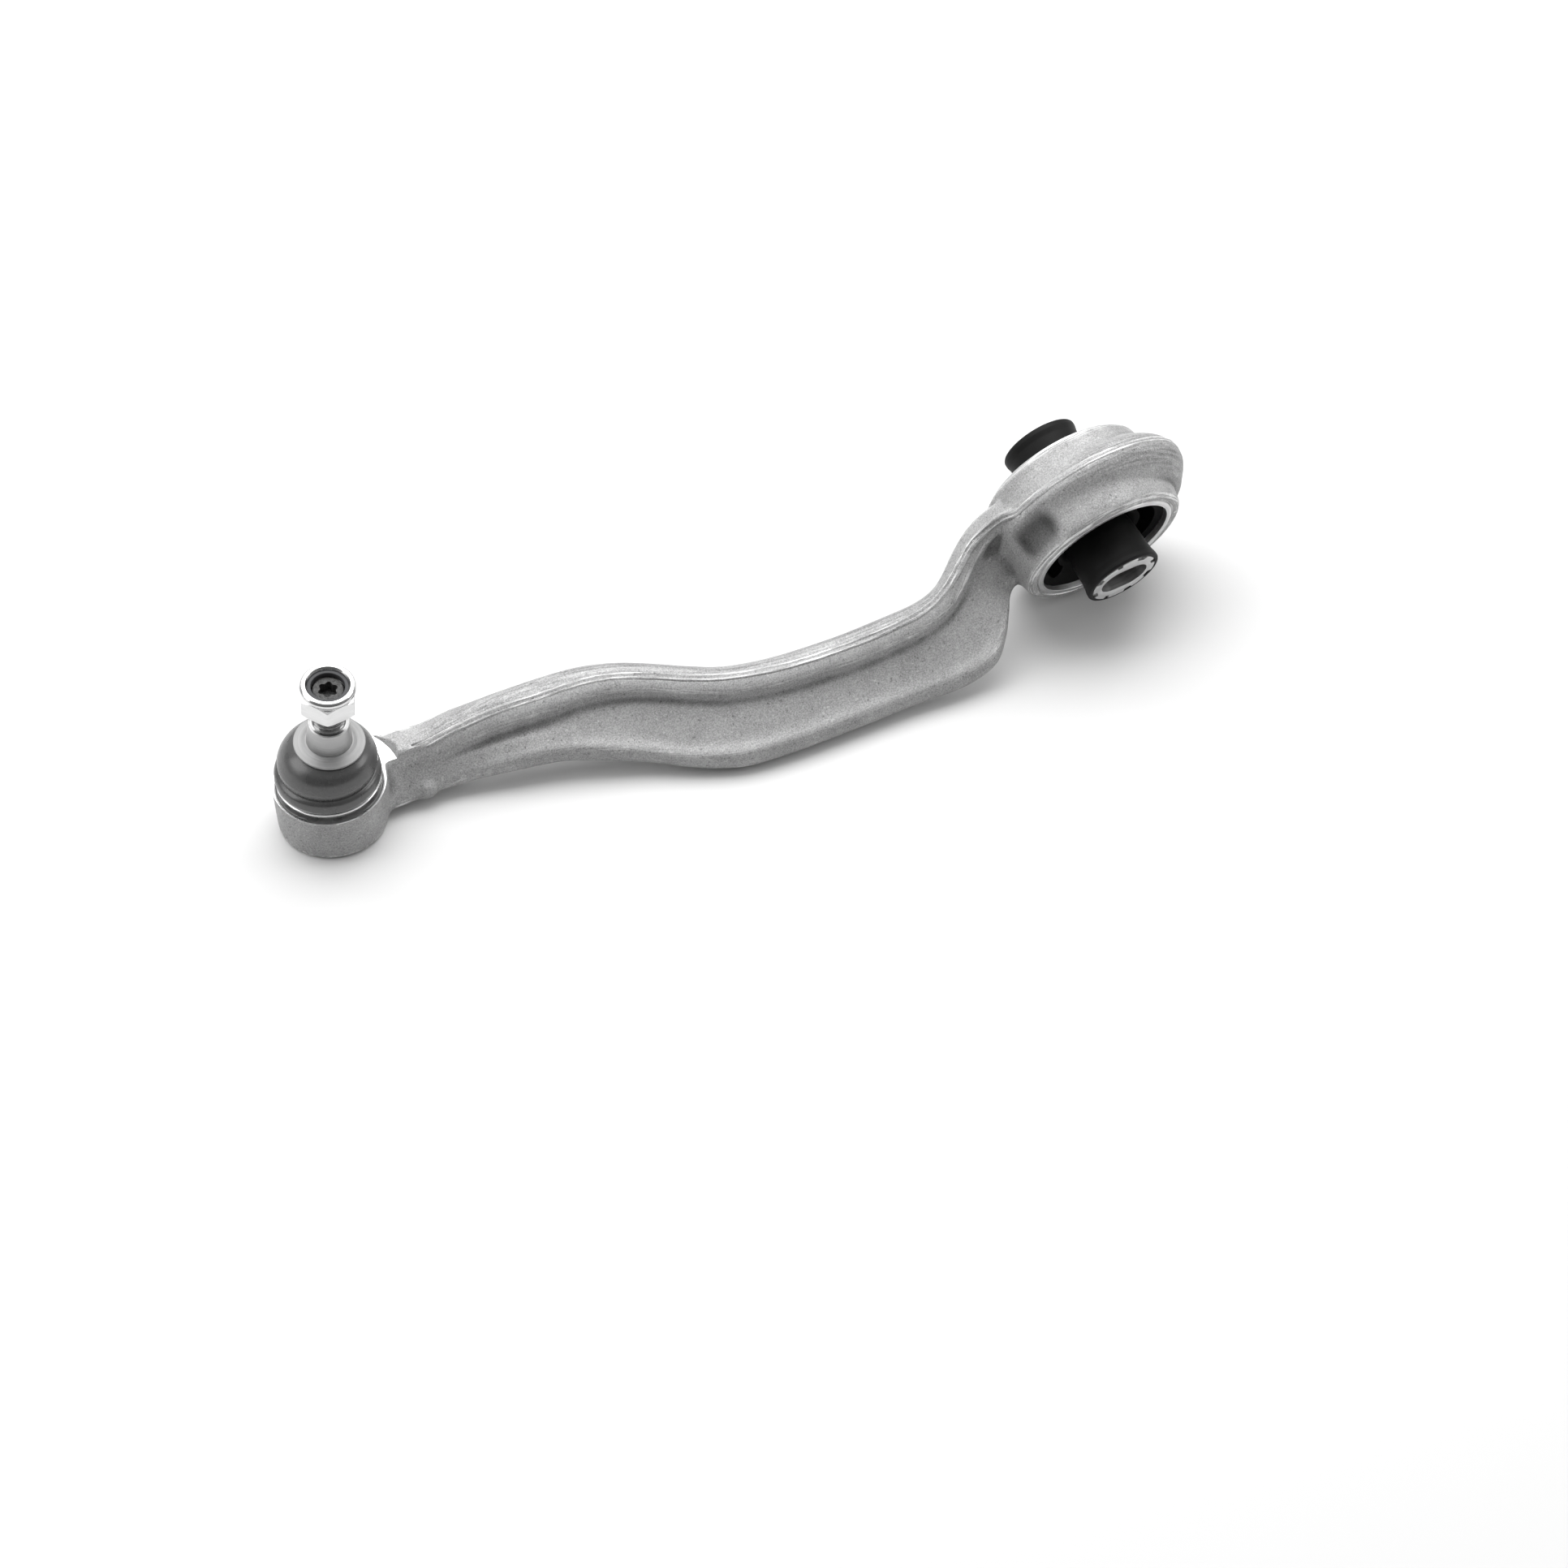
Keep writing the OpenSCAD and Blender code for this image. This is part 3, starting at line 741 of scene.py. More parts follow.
def carve(obj):
    """Sinks the pocket beside the eye and the small oval dent in the crown of the rib."""
    cut(obj, [pocket_tool()])
    remesh(obj)
    mesh = obj.data
    points = coords(mesh)
    pairs, degree = neighbours(mesh)
    share = 0.12 + 0.88 * smoothstep(pocket_gap(points), POCKET_R + 5, POCKET_R + 1)
    for _ in range(9):
        points = points + (0.5 * share)[:, None] * pull(points, pairs, degree)
        points = points - (0.3 * share)[:, None] * pull(points, pairs, degree)
    inward = np.array(DENT_NORMAL) / np.linalg.norm(DENT_NORMAL)
    offset = points - np.array(DENT)
    short_way = unit(np.cross(inward, (0, 1, 0.2)))
    long_way = np.cross(inward, short_way)
    spread = np.hypot(offset @ short_way / DENT_HALVES[0], offset @ long_way / DENT_HALVES[1])
    sink = DENT_DEPTH * smoothstep(spread, 1, 0.35) * (np.abs(offset @ inward) < 4)
    points = points - np.outer(sink, inward)
    set_coords(mesh, points)


def fillet(obj):
    """Fills the creases where beam meets housing and eye, then eases every edge a little."""
    mesh = obj.data
    points = coords(mesh)
    base = points + EYE_CENTRE
    pairs, degree = neighbours(mesh)
    quads = np.empty(len(mesh.loops), np.int64)
    mesh.loops.foreach_get("vertex_index", quads)
    quads = quads.reshape(-1, 4)
    along = points @ BUSH_AXIS
    rho = np.linalg.norm(points - np.outer(along, BUSH_AXIS), axis=1)
    near_eye = smoothstep(base[:, 0], 285, 300) * smoothstep(-(points @ BUSH_SIDE), 20, 28)
    near_eye = near_eye * smoothstep(rho, 36, 39) * smoothstep(along, -1, 4)
    all_eye = smoothstep(rho, 36, 38.5) * smoothstep(rho, 60, 52) * (np.abs(along) < 19)
    near_housing = smoothstep(base[:, 0], 44, 32) * smoothstep(base[:, 0], 5, 14)
    near_housing = near_housing * (base[:, 2] < RIM + 0.5)
    share = np.maximum.reduce([0.85 * near_eye, 0.03 * all_eye, 0.8 * near_housing])
    for step in range(70):
        if step % 5 == 0:
            normal = quad_normals(points, quads)
        move = pull(points, pairs, degree)
        lift = np.maximum((move * normal).sum(1), 0)
        points = points + normal * (lift * share)[:, None] * 0.9
    for _ in range(5):
        points = points + 0.5 * pull(points, pairs, degree)
        points = points - 0.42 * pull(points, pairs, degree)
    set_coords(mesh, points)


def machine(obj, material):
    """Cuts the machined faces: boot seat, rim, cavity and bore."""
    def tool(name, profile, place):
        made = revolve(name, profile, place, 192)
        made.data.materials.append(material)
        return made
    seat = tool("seat_tool", [
        (NECK_R, RIM - 1.2, 0.5), (22.3, RIM - 1.2, 0.3), (22.5, RIM - 0.2, 0.2), (22.8, RIM),
        (SPOT_FACE_R - 0.3, RIM), (SPOT_FACE_R + 1.2, RIM + 2), (SPOT_FACE_R + 1.2, RIM + 20),
        (NECK_R, RIM + 20),
    ], BALL_BASE)
    cavity = tool("cavity_tool", [
        (0, -2), (16.9, -2), (16.9, 1.9), (15.3, 1.9), (15.3, 22.1), (13, 22.1), (13, 24.1),
        (17.2, NECK_TOP + 0.1), (17.2, NECK_TOP + 3), (0, NECK_TOP + 3),
    ], BALL_BASE)
    bore = tool("bore_tool", [
        (0, -EYE_HALF - 8), (EYE_R + 8, -EYE_HALF - 8), (EYE_R + 0.7, -EYE_HALF),
        (EYE_R + 0.02, -EYE_HALF + 0.8), (EYE_R + 0.02, EYE_HALF - 0.8), (EYE_R + 0.7, EYE_HALF),
        (EYE_R + 8, EYE_HALF + 8), (0, EYE_HALF + 8),
    ], BUSH)
    cut(obj, [seat, cavity, bore])


def add_float(mesh, name, values):
    layer = mesh.attributes.new(name, "FLOAT", "POINT")
    layer.data.foreach_set("value", values.astype(np.float32))


def add_flow(mesh, flow):
    layer = mesh.attributes.new("flow", "FLOAT_VECTOR", "POINT")
    layer.data.foreach_set("vector", (flow * MM).astype(np.float32).ravel())


def beam_guide():
    us = np.linspace(0, LAST, 321)
    guide = [section_frame(u) for u in us]
    mids = np.array([(g[0] + g[1]) / 2 for g in guide])
    travel = np.concatenate([[0], np.cumsum(np.linalg.norm(np.diff(mids, axis=0), axis=1))])
    return guide, mids, travel


def paint_attributes(obj):
    """Wear on edges, painted shade in creases and in the pocket beside the eye, and the direction the
    forging's streaks run.
    """
    mesh = obj.data
    points = coords(mesh)
    base = points + EYE_CENTRE
    pairs, degree = neighbours(mesh)
    normal = np.empty(len(points) * 3)
    mesh.vertices.foreach_get("normal", normal)
    normal = normal.reshape(-1, 3)
    bend = (pull(points, pairs, degree) * normal).sum(1)[:, None]
    for _ in range(4):
        bend = bend + 0.6 * pull(bend, pairs, degree)
    wide = bend.copy()
    for _ in range(14):
        wide = wide + 0.6 * pull(wide, pairs, degree)
    off_lump = smoothstep(np.linalg.norm(base - ROOT_LUMP, axis=1), 7, 10)
    add_float(mesh, "wear", smoothstep(-bend[:, 0], 0.017, 0.055) * off_lump)
    # Painted shade: these masks of concave creases and of the pocket darken the colour where shade falls,
    # like occlusion.
    creased = smoothstep(bend[:, 0], 0.012, 0.07) + smoothstep(wide[:, 0], 0.008, 0.03)
    in_pocket = smoothstep(pocket_gap(points), POCKET_R + 3, POCKET_R - 1.5)
    add_float(mesh, "hollow", np.maximum(0.55 * np.clip(creased, 0, 1), in_pocket))
    guide, mids, travel = beam_guide()
    crests = np.array([g[0] for g in guide])
    outs = np.array([g[3] for g in guide])
    alongs = np.array([g[2] for g in guide])
    nearest = np.empty(len(base), np.int64)
    for start in range(0, len(base), 20000):
        block = base[start:start + 20000]
        gap = ((block[:, None, :] - mids[None]) ** 2).sum(2)
        nearest[start:start + 20000] = gap.argmin(1)
    offset = base - mids[nearest]
    dirs = np.gradient(mids, axis=0)
    dirs = dirs / np.linalg.norm(dirs, axis=1)[:, None]
    distance = travel[nearest] + (offset * dirs[nearest]).sum(1)
    height = (offset * alongs[nearest]).sum(1)
    depth = (offset * outs[nearest]).sum(1)
    rho = np.hypot(points @ BUSH_SIDE, points @ BUSH_UP)
    swing = np.arctan2(points @ BUSH_UP, -(points @ BUSH_SIDE))
    ringed = smoothstep(base[:, 0], 300, 318)
    flow = np.stack([
        distance * (1 - ringed) + (travel[-1] + 45 * swing) * ringed,
        height * (1 - ringed) + (points @ BUSH_AXIS) * ringed,
        depth * (1 - ringed) + rho * ringed,
    ], 1)
    add_flow(mesh, flow)
    from_crest = base - crests[nearest]
    above = (from_crest * alongs[nearest]).sum(1)
    beside = np.abs((from_crest * outs[nearest]).sum(1))
    on_top = smoothstep(above, -2.5, -0.5) * (1 - ringed) * smoothstep(beside, 11, 4)
    on_top = on_top * smoothstep(base[:, 0], 34, 50)
    on_rib = smoothstep(rho, 42, 45) * ringed
    add_float(mesh, "band", 0.75 * np.clip(on_top + on_rib, 0, 1))


def flash_line(arm, material):
    """Twin trimmed ridge that runs along the crest of the beam, up the neck and round the eye."""
    first, last = 1.6, 17.2
    rim_r, rim_from, rim_to = 50, 146, -150
    pull_out, fade_over = 14, 12
    guide = [section_frame(u)[0] for u in np.linspace(first, last, 260)]
    rim = [rib_point(rim_r, angle) for angle in np.linspace(rim_from, rim_to, 330)]
    start, end = guide[-1], rim[0]
    lead = unit(guide[-1] - guide[-4]) * pull_out
    tail = unit(rim[3] - rim[0]) * pull_out
    bridge = []
    for t in np.linspace(0, 1, 24)[1:-1]:
        h00, h10 = 2 * t**3 - 3 * t**2 + 1, t**3 - 2 * t**2 + t
        h01, h11 = -2 * t**3 + 3 * t**2, t**3 - t**2
        bridge.append(h00 * start + h10 * lead + h01 * end + h11 * tail)
    line = np.array(guide + bridge + rim) - EYE_CENTRE
    tree = BVHTree.FromObject(arm, bpy.context.evaluated_depsgraph_get())
    spots, normals = [], []
    for p in line:
        spot, normal, _, _ = tree.find_nearest(Vector(p) * MM)
        spots.append(np.array(spot) / MM)
        normals.append(np.array(normal))
    spots, normals = np.array(spots), np.array(normals)
    for _ in range(6):
        spots[1:-1] = 0.5 * spots[1:-1] + 0.25 * (spots[:-2] + spots[2:])
        normals[1:-1] = 0.5 * normals[1:-1] + 0.25 * (normals[:-2] + normals[2:])
    half = [(0.4, 0.04), (0.8, 0.22), (1.1, 0.24), (1.45, 0.06), (1.9, -0.12), (2.3, -0.7)]
    profile = [(-x, y) for x, y in half[::-1]] + half
    rings = []
    for i in range(len(spots)):
        ahead = unit(spots[min(i + 1, len(spots) - 1)] - spots[max(i - 1, 0)])
        normal = unit(normals[i] - ahead * (normals[i] @ ahead))
        across = np.cross(ahead, normal)
        fade = min(1.0, i / fade_over, (len(spots) - 1 - i) / fade_over)
        rough = 1 + 0.22 * math.sin(i * 0.71) * math.sin(i * 0.193 + 1)
        ring = []
        for x, y in profile:
            rise = y * rough * fade - 0.35 * (1 - fade)
            ring.append(spots[i] + across * x + normal * rise)
        rings.append(ring)
    ridge = loft("arm_flash_line", rings, Matrix.Identity(4))
    ridge.data.materials.append(material)
    mesh = ridge.data
    count = len(profile)
    step = np.linalg.norm(np.diff(spots, axis=0), axis=1)
    travel = np.concatenate([[0], np.cumsum(step)])
    worn = np.array([math.exp(-((abs(x) - 1.0) / 0.32) ** 2) for x, _ in profile])
    patchy = 0.55 + 0.45 * np.sin(travel * 0.11 + 0.6) * np.sin(travel * 0.043)
    wear = np.concatenate([np.outer(patchy, worn).ravel(), [0, 0]])
    flow = np.zeros((len(mesh.vertices), 3))
    flow[:len(spots) * count, 0] = np.repeat(travel, count)
    flow[:len(spots) * count, 1] = np.tile([x for x, _ in profile], len(spots))
    add_float(mesh, "wear", wear)
    # The ridge itself gets no painted shade.
    add_float(mesh, "hollow", np.zeros(len(mesh.vertices)))
    add_float(mesh, "band", np.ones(len(mesh.vertices)))
    add_flow(mesh, flow)
    return ridge


aluminium = forged_aluminium("forged_aluminium", 0.42)
machined = turned("machined_aluminium", BALL_BASE, 0.74, 1.0, 0.30, 2200, 0.03, 0.05)
arm = arm_blank()
fillet(arm)
carve(arm)
paint(arm.data, aluminium)
machine(arm, machined)
soften(arm, 38)
paint_attributes(arm)
dress(arm, "arm", None, "forged_aluminium", "arm_forging")
ridge = flash_line(arm, forged_aluminium("trimmed_flash", 0.75))
dress(ridge, "arm", None, "forged_aluminium")

# ---- ball joint
THREAD_R, THREAD_PITCH = 7.0, 1.5
TAPER_R, TAPER_TOP_R = 9.65, 8.9
TAPER_START, TAPER_END, STUD_END = 36.8, 48.4, 69.0


def six_lobe_outline():
    tip, wave = 4.3, 0.52
    return [polar(tip - wave + wave * math.cos(6 * a), a) for a in circle(180)]


def stud_body(shaft_material, end_material, thread_material):
    """Ball, shank, taper and a real single-start thread in one closed skin."""
    sides = 96
    ball_r, shank_r = 13.5, 7.0
    flat_r, flat_z = 8.1, -10.8
    waist = math.sqrt(ball_r**2 - shank_r**2)
    rows = [(0.0, flat_z), (flat_r, flat_z)]
    rows += [polar(ball_r, math.radians(-53.1 + 111.9 * k / 24)) for k in range(1, 24)]
    rows += [(shank_r, waist), (shank_r, waist + 7), (8.4, 26), (TAPER_R, 30), (TAPER_R, TAPER_START)]
    for k in range(1, 6):
        t = k / 6
        height = TAPER_START + (TAPER_END - 0.8 - TAPER_START) * t
        rows.append((TAPER_R + (TAPER_TOP_R - TAPER_R) * t, height))
    rows += [
        (TAPER_TOP_R, TAPER_END - 0.8), (TAPER_TOP_R - 0.15, TAPER_END - 0.3),
        (TAPER_TOP_R - 0.7, TAPER_END), (THREAD_R + 0.2, TAPER_END), (THREAD_R - 0.5, TAPER_END + 0.5),
    ]
    steps_per_turn = 12
    start, end = TAPER_END + 0.9, STUD_END - 0.9
    count = int((end - start) / THREAD_PITCH * steps_per_turn)
    rows += [(None, start + (end - start) * k / count) for k in range(count + 1)]
    rows += [(THREAD_R - 0.6, STUD_END - 0.3), (THREAD_R - 0.75, STUD_END), (0.0, STUD_END)]
    points, index = [], []
    for j, (r, z) in enumerate(rows):
        if r == 0.0:
            index.append([len(points)] * sides)
            points.append((0, 0, z))
            continue
        index.append(list(range(len(points), len(points) + sides)))
        for k in range(sides):
            a = 2 * math.pi * k / sides
            radius = r
            if r is None:
                phase = (z / THREAD_PITCH - k / sides) % 1.0
                tooth = min(1.0, max(0.0, 1.35 - abs(phase - 0.5) * 3.4))
                edge = min(1.0, (z - start) / 1.2, (end - z) / 1.0)
                radius = THREAD_R - 0.9 + 0.88 * tooth * max(0.0, edge)
            points.append((*polar(radius, a), z))
    stud = new_object("stud_body", points, row_faces(index, sides, False), STUD, 40)
    socket = extrude("socket_tool", six_lobe_outline(), STUD_END - 5, STUD_END + 2, STUD)
    stud.data.materials.append(shaft_material)
    socket.data.materials.append(end_material)
    cut(stud, [socket])
    stud.data.materials.append(thread_material)
    place = STUD.inverted()
    for face in stud.data.polygons:
        height = (place @ (face.center / MM)).z
        if height > STUD_END - 0.4:
            face.material_index = 1
        elif height > TAPER_END and face.material_index == 0:
            face.material_index = 2
    soften(stud, 38)
    return stud


def grainy_steel(name, color):
    p = Paint(name, color, 0.45, 0.62, 0.3)
    grain = p.noise(p.here, 2600, 3.0, 0.65)
    cloud = p.noise(p.here, 500, 3.0, 0.6)
    tone = p.math("ADD", p.vary(grain, color * 0.35, color * 1.6), p.vary(cloud, -0.02, 0.02))
    p.set("Base Color", p.grey(p.math("MAXIMUM", tone, 0.01)))
    p.set("Roughness", p.vary(grain, 0.72, 0.5))
    p.bump(grain, 0.06)
    return p.mat


# The stud's end and socket are coloured near-black: the steel's dark oxide, plus painted shade of the
# recess inside the nut's insert.
end_steel = grainy_steel("stud_end_oxide_and_shade", 0.062)
shaft_steel = turned("phosphated_steel", STUD, 0.42, 0.7, 0.42, 1500, 0.015, 0.03)
thread_steel = turned("thread_steel", STUD, 0.20, 0.95, 0.18, 1500, 0.01, 0.05)
stud = stud_body(shaft_steel, end_steel, thread_steel)
dress(stud, "stud", None, "stud_steel", "ball_stud")

collar = revolve("boot_collar_flared", [
    (TAPER_R + 0.05, 30.6), (11, 30.6), (11, 33.9, 0.3), (14.3, 34.1, 0.3), (15.15, 34.7, 0.35),
    (15.15, 35.55, 0.3), (13.8, 35.7, 1.2), (11.6, 36.1, 1.5), (10.2, 36.65, 0.5), (TAPER_R + 0.05, 36.7),
], STUD, 160)
collar_paint = turned("collar_plating", STUD, 0.24, 0.3, 0.42, 900, 0.015, 0.03)
dress(collar, "boot_top", collar_paint, "collar_steel", "boot_collar")


def boot_half(name, rows):
    """Rings of (radius, height above the base, share of the lean), inside and outside, as one skin."""
    sides = 144
    to_ball = Matrix.Translation((0, 0, BALL_HEIGHT)) @ turn(STUD_LEAN_DIR, "Z")
    from_ball = turn(-STUD_LEAN_DIR, "Z") @ Matrix.Translation((0, 0, -BALL_HEIGHT))
    points = []
    for r, h, share in rows:
        lean = to_ball @ turn(STUD_LEAN * share, "Y") @ from_ball
        points += [tuple(lean @ Vector((*polar(r, a), h))) for a in circle(sides)]
    return new_object(name, points, row_faces(plain_rows(len(rows), sides), sides, True), BALL_BASE, 50)


def smooth_rows(rows, steps):
    """A smooth curve through the rows, with `steps` points from each to the next."""
    out = []
    for i in range(len(rows) - 1):
        out += [tuple(spline(rows, i, s / steps)) for s in range(steps)]
    return out + [rows[-1]]


SEAM = 38.5
boot_rubber = rubber("boot_rubber", 0.050, 0.27, 1700, 0.012, 0.12, 0.75)
lower_out = [(20.9, 25.3, 0), (21.1, 25.5, 0), (21.1, 27.3, 0), (21.6, 27.6, 0)]
lower_out += smooth_rows([
    (22.5, 27.9, 0), (22.75, 29.2, 0), (22.7, 31, 0), (22.3, 32.6, 0.03), (21.3, 33.7, 0.06),
], 4)
lower_out += smooth_rows([(20.6, 34.0, 0.1), (20.75, 34.5, 0.12), (21.1, 36.2, 0.2), (21.3, SEAM, 0.35)], 5)
lower_in = smooth_rows([(19.4, SEAM, 0.35), (19.4, 34.5, 0.1), (19.9, 31, 0), (19.9, 25.3, 0)], 6)
upper_out = smooth_rows([
    (21.3, SEAM, 0.35), (20.75, 41, 0.5), (19.5, 44, 0.7), (17.6, 46.6, 0.88), (15.6, 48.2, 1),
    (14.5, 48.85, 1),
], 6)
upper_in = [(11.4, 48.85, 1), (11.4, 47.2, 1), (13.2, 45.4, 1)]
upper_in += smooth_rows([(15.6, 43.9, 0.75), (18.6, 40.5, 0.5), (19.4, SEAM, 0.35)], 4)
lower = boot_half("boot_lower_band", lower_out + lower_in)
upper = boot_half("boot_upper_dome", upper_out + upper_in)
BALL_X, BALL_Z = -REACH * MM, -BUSH_HEIGHT * MM
for part in (lower, upper):
    part.data.materials.append(boot_rubber)
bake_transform(lower)
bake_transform(upper)
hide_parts("dust_boot")
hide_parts("dust_boot")

wire_paint = turned("bright_wire", BALL_BASE, 0.86, 1.0, 0.16, 900, 0.01, 0.03)
WIRE_R, WIRE_THICK, WIRE_HEIGHT = 21.8, 0.55, 26.4
bpy.ops.mesh.primitive_torus_add(
    major_segments=192, minor_segments=20, major_radius=WIRE_R * MM, minor_radius=WIRE_THICK * MM
)
wire = bpy.context.object
wire.name = "boot_wire_clip"
wire.data.transform(Matrix.Translation((BALL_X, 0, BALL_Z + WIRE_HEIGHT * MM)))
wire.data.polygons.foreach_set("use_smooth", [True] * len(wire.data.polygons))
dress(wire, "arm", wire_paint, "bright_wire", "boot_wire_ring")

cover = revolve("base_cover", [
    (0, 0.5), (6.5, 0.5, 2), (8, 1.1, 2), (13.2, 1.1, 2), (14.6, 0.5, 1.5), (16.85, 0.5, 0.4),
    (16.85, 1.88), (0, 1.88),
], BALL_BASE, 128)
cover_paint = turned("cover_plating", BALL_BASE, 0.52, 0.9, 0.38, 1100, 0.02)
dress(cover, "arm", cover_paint, "cover_steel", "cover_plate")

# ---- nut
NUT_BASE, NUT_HEIGHT, NUT_FLATS = 59.4, 9.2, 22.0
NUT_COLLAR_TOP, INSERT_TOP, INSERT_R = 72.6, 71.2, 9.2
NUT_SWING = 55


def nut_body():
    corner = NUT_FLATS / 2 / math.cos(math.radians(30))
    tips = [polar(corner, math.radians(60 * k - NUT_SWING)) for k in range(7)]
    hexagon = []
    per_side = 12
    for a, b in zip(tips, tips[1:]):
        hexagon += [(a[0] + (b[0] - a[0]) * t / per_side, a[1] + (b[1] - a[1]) * t / per_side)
                    for t in range(per_side)]
    body = extrude("lock_nut_body", hexagon, NUT_BASE, NUT_BASE + NUT_HEIGHT, STUD)
    bevel(body, 0.28, 35, 3)
    top = NUT_BASE + NUT_HEIGHT
    cone = revolve("chamfer_tool", [
        (0, NUT_BASE - 0.01), (11.1, NUT_BASE - 0.01), (13.0, NUT_BASE + 1.05), (13.0, top - 1.15),
        (10.95, top + 0.01), (0, top + 0.01),
    ], STUD, 144)
    cut(body, [cone], "INTERSECT")
    crown = revolve("crown", [
        (0, top - 0.6), (10.8, top - 0.6), (10.8, top + 0.2, 0.1), (11.5, top + 0.4, 0.3),
        (11.55, top + 0.9, 0.3), (11.1, top + 1.15, 0.1), (11.1, top + 1.35, 0.1), (11.8, top + 1.6, 0.5),
        (11.8, NUT_COLLAR_TOP - 1.1, 1.0), (10.9, NUT_COLLAR_TOP, 0.9), (9.4, NUT_COLLAR_TOP - 0.05, 0.6),
        (8.7, INSERT_TOP + 0.35, 0.3), (8.6, INSERT_TOP - 0.6), (0, INSERT_TOP - 0.6),
    ], STUD, 144, 6)
    cut(body, [crown], "UNION")
    bore = revolve("bore_tool", [
        (0, NUT_BASE - 1), (THREAD_R + 1.1, NUT_BASE - 1), (THREAD_R + 1.1, NUT_BASE),
        (THREAD_R + 0.05, NUT_BASE + 1), (THREAD_R + 0.05, top), (INSERT_R, top),
        (INSERT_R, INSERT_TOP - 0.25), (8.5, INSERT_TOP), (8.5, NUT_COLLAR_TOP + 1),
        (0, NUT_COLLAR_TOP + 1),
    ], STUD, 128)
    cut(body, [bore])
    soften(body, 30)
    return body


nut = nut_body()
zinc = turned("bright_zinc", STUD, 0.70, 1.0, 0.17, 700, 0.006, 0.03)
dress(nut, "nut", zinc, "zinc_steel", "lock_nut")
insert = revolve("lock_insert", [
    (THREAD_R + 0.03, NUT_BASE + NUT_HEIGHT + 0.1, 0.3), (INSERT_R - 0.08, NUT_BASE + NUT_HEIGHT + 0.1),
    (INSERT_R - 0.08, INSERT_TOP - 0.35, 0.2), (8.4, INSERT_TOP - 0.12, 0.2),
    (THREAD_R + 0.03, INSERT_TOP - 0.1, 0.4),
], STUD, 128)
nylon = cast_plastic("insert_nylon", (0.030, 0.031, 0.034), 0.62)
dress(insert, "nut_insert", nylon, "insert_nylon", "nylon_insert")

# ---- bush
SLEEVE_HALF, SLEEVE_R, SLOT_R, SLOT_TRAVEL = 37.6, 15.6, 8.2, 6.6
RING_HALF, RING_BORE = 21.4, 31.3
bush_black = rubber("bush_rubber", 0.006, 0.52, 1300, 0.02, 0.30, 0.16)


def slot_outline(per_end=40):
    out = []
    for side in (1, -1):
        for k in range(per_end + 1):
            x, y = polar(SLOT_R, math.radians(-90 + 180 * k / per_end))
            out.append((side * (x + SLOT_TRAVEL / 2), side * y))
    return out


ring = revolve("bush_ring", [
    (RING_BORE, -RING_HALF, 0.25), (EYE_R - 0.45, -RING_HALF, 0.25),
    (EYE_R - 0.06, -RING_HALF + 0.9, 0.3), (EYE_R - 0.06, RING_HALF - 0.9, 0.3),
    (EYE_R - 0.45, RING_HALF, 0.25), (RING_BORE, RING_HALF, 0.25),
], BUSH, 192)
ring_paint = turned("turned_ring", BUSH, 0.66, 0.95, 0.36, 1900, 0.03, 0.10)
dress(ring, "arm", ring_paint, "ring_aluminium", "bush_outer_ring")


def flipped(side):
    return Matrix.Scale(-1, 4, (0, 0, 1)) if side else Matrix.Identity(4)


def sleeve_body(face_material, bore_material):
    end = SLEEVE_HALF - 7
    core = SLEEVE_R - 1.2
    body = revolve("sleeve_body", [
        (0, -SLEEVE_HALF), (SLEEVE_R - 0.15, -SLEEVE_HALF, 0.15), (SLEEVE_R, -SLEEVE_HALF + 0.3),
        (SLEEVE_R, -end), (core, -end + 2), (core, end - 2), (SLEEVE_R, end),
        (SLEEVE_R, SLEEVE_HALF - 0.3), (SLEEVE_R - 0.15, SLEEVE_HALF, 0.15), (0, SLEEVE_HALF),
    ], BUSH, 160)
    slot = extrude("slot_tool", slot_outline(), -SLEEVE_HALF - 2, SLEEVE_HALF + 2, BUSH)
    body.data.materials.append(face_material)
    slot.data.materials.append(bore_material)
    cut(body, [slot])
    bevel(body, 0.3, 60, 2)
    count, depth, deep_r = 8, 1.2, SLEEVE_R - 2.1
    notches = []
    for side in (0, 1):
        for k in range(count):
            half = 2.1 + 0.8 * math.sin(2.1 * k)
            outline = [(deep_r, -half * 0.7), (SLEEVE_R + 1, -half * 1.3), (SLEEVE_R + 1, half * 1.3),
                       (deep_r, half * 0.7)]
            place = BUSH @ flipped(side) @ turn(360 / count * (k + 0.5), "Z")
            name = f"notch_{side}_{k}"
            notches.append(extrude(name, outline, SLEEVE_HALF - depth, SLEEVE_HALF + 1, place))
    cut(body, [join(notches, "notch_tool")])
    soften(body, 32)
    return body


sleeve_face = turned("sleeve_metal", BUSH, 0.60, 0.85, 0.40, 600, 0.02, 0.08)
sleeve = sleeve_body(sleeve_face, turned("sleeve_bore_metal", BUSH, 0.16, 0.7, 0.5, 600, 0.02, 0.04))
dress(sleeve, "bush_sleeve", None, "sleeve_metal", "inner_sleeve")


def jacket(name, side, node):
    """Rubber skin on half of the sleeve, with a thicker bead at its end."""
    half = SLEEVE_HALF
    body = revolve(name, [
        (14.42, 9.05), (15.82, 9.05), (15.82, 14), (16.45, 20, 6), (16.85, half - 9, 10),
        (17.15, half - 5, 6), (17.72, half - 2.6, 2), (17.74, half - 1.0, 0.7), (17.2, half - 0.25, 0.5),
        (16.2, half - 0.15, 0.3), (SLEEVE_R + 0.03, half - 0.35), (SLEEVE_R + 0.03, half - 6.95),
        (14.42, half - 9.0),
    ], BUSH @ flipped(side), 160, 6)
    return dress(body, "bush_sleeve", bush_black, "bush_rubber", node)


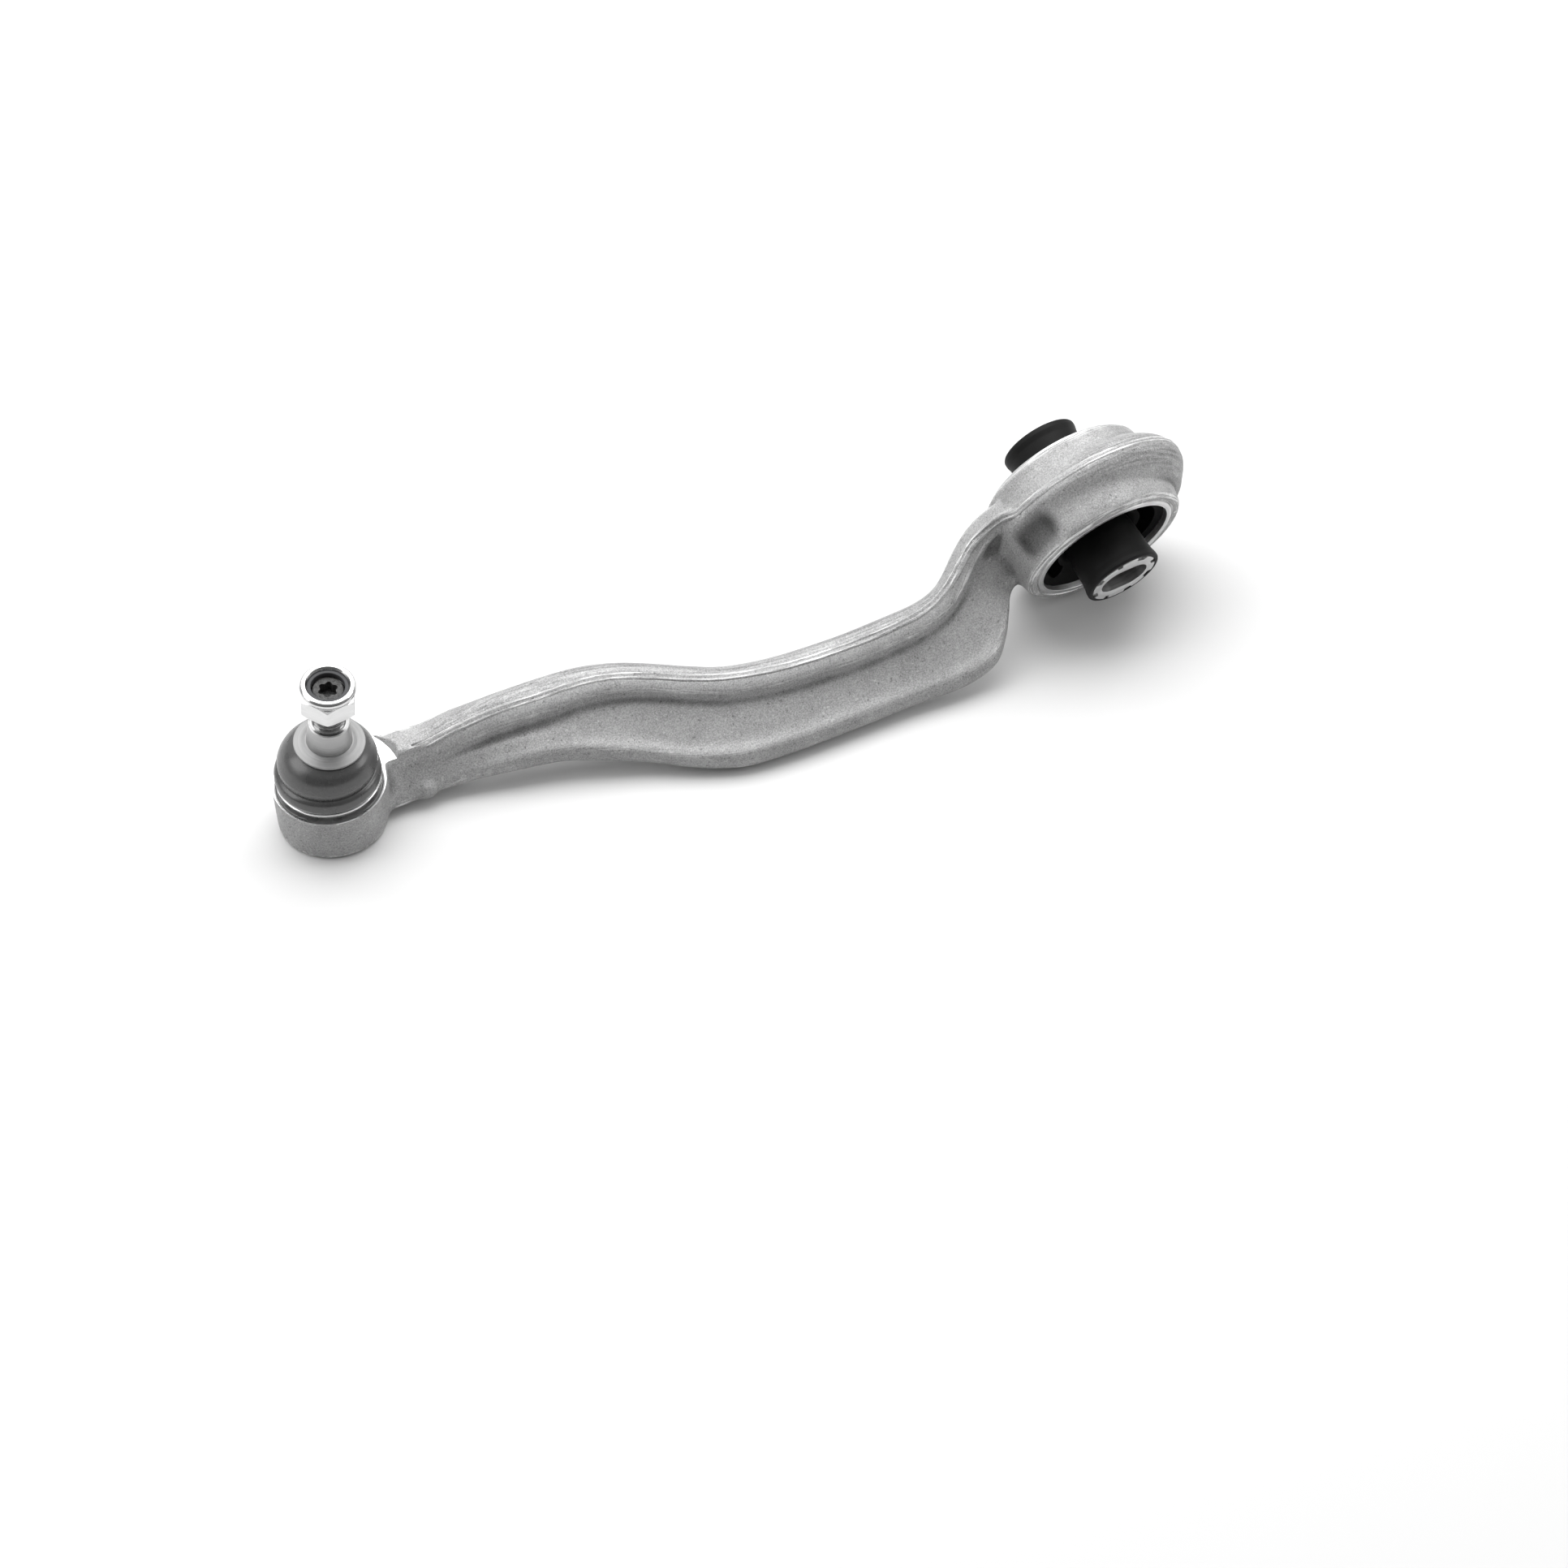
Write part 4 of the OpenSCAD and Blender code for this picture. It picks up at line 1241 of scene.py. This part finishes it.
jacket("sleeve_jacket_front_skin", 0, "sleeve_jacket_front")
jacket("sleeve_jacket_rear_skin", 1, "sleeve_jacket_rear")


def kidney_outline(steps=40, cap_steps=8):
    """Rounded kidney between the rubber's spokes, centred on +X."""
    mid, half_width, half_angle = 24.0, 3.25, 42.0
    out = []
    for side in (1, -1):
        for k in range(steps + 1):
            a = math.radians(side * (-half_angle + 2 * half_angle * k / steps))
            out.append(polar(mid + side * half_width, a))
        a = math.radians(side * half_angle)
        for k in range(1, cap_steps):
            radius, bulge = polar(side * half_width, math.pi * k / cap_steps)
            x, y = polar(mid + radius, a)
            dx, dy = polar(bulge * 0.5, a)
            out.append((x - dy, y + dx))
    return out


def spring_body():
    body = revolve("rubber_spring_body", [
        (16.2, -15, 0.6), (18.6, -18, 1.5), (24, -20.1, 3), (RING_BORE, -19.4), (RING_BORE, -16.2),
        (27.4, -16.2), (27.4, 16.2), (RING_BORE, 16.2), (RING_BORE, 18.6), (24, 17, 3), (18.6, 15, 1.5),
        (16.2, 13, 0.6),
    ], BUSH, 160, 5)
    turns = {"kidney_a": 0, "kidney_b": 180}
    cut(body, [extrude(name, kidney_outline(), -30, 30, BUSH @ turn(a, "Z")) for name, a in turns.items()])
    soften(body, 35)
    return body


spring = spring_body()
paint(spring.data, rubber("spring_rubber", 0.004, 0.62, 1300, 0.02, 0.30, 0.05))
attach(spring, "bush_rubber")
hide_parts("rubber_spring")

# ---- inner pieces that keep their CAD shape
inner = {
    "bearing_shell": cast_plastic("bearing_plastic", (0.82, 0.80, 0.73)),
    "preload_ring": turned("spring_steel", BALL_BASE, 0.28, 0.9, 0.4),
    "boot_neck_ring": wire_paint,
    "window_cage": turned("cage_steel", BUSH, 0.48, 0.9, 0.42, 900),
    "channel_ring_front": cast_plastic("channel_plastic", (0.05, 0.05, 0.055)),
    "travel_stop": cast_plastic("stop_plastic", (0.78, 0.76, 0.68)),
}
inner["channel_ring_rear"] = inner["channel_ring_front"]
for node, material in inner.items():
    paint(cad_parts[node].data, material)
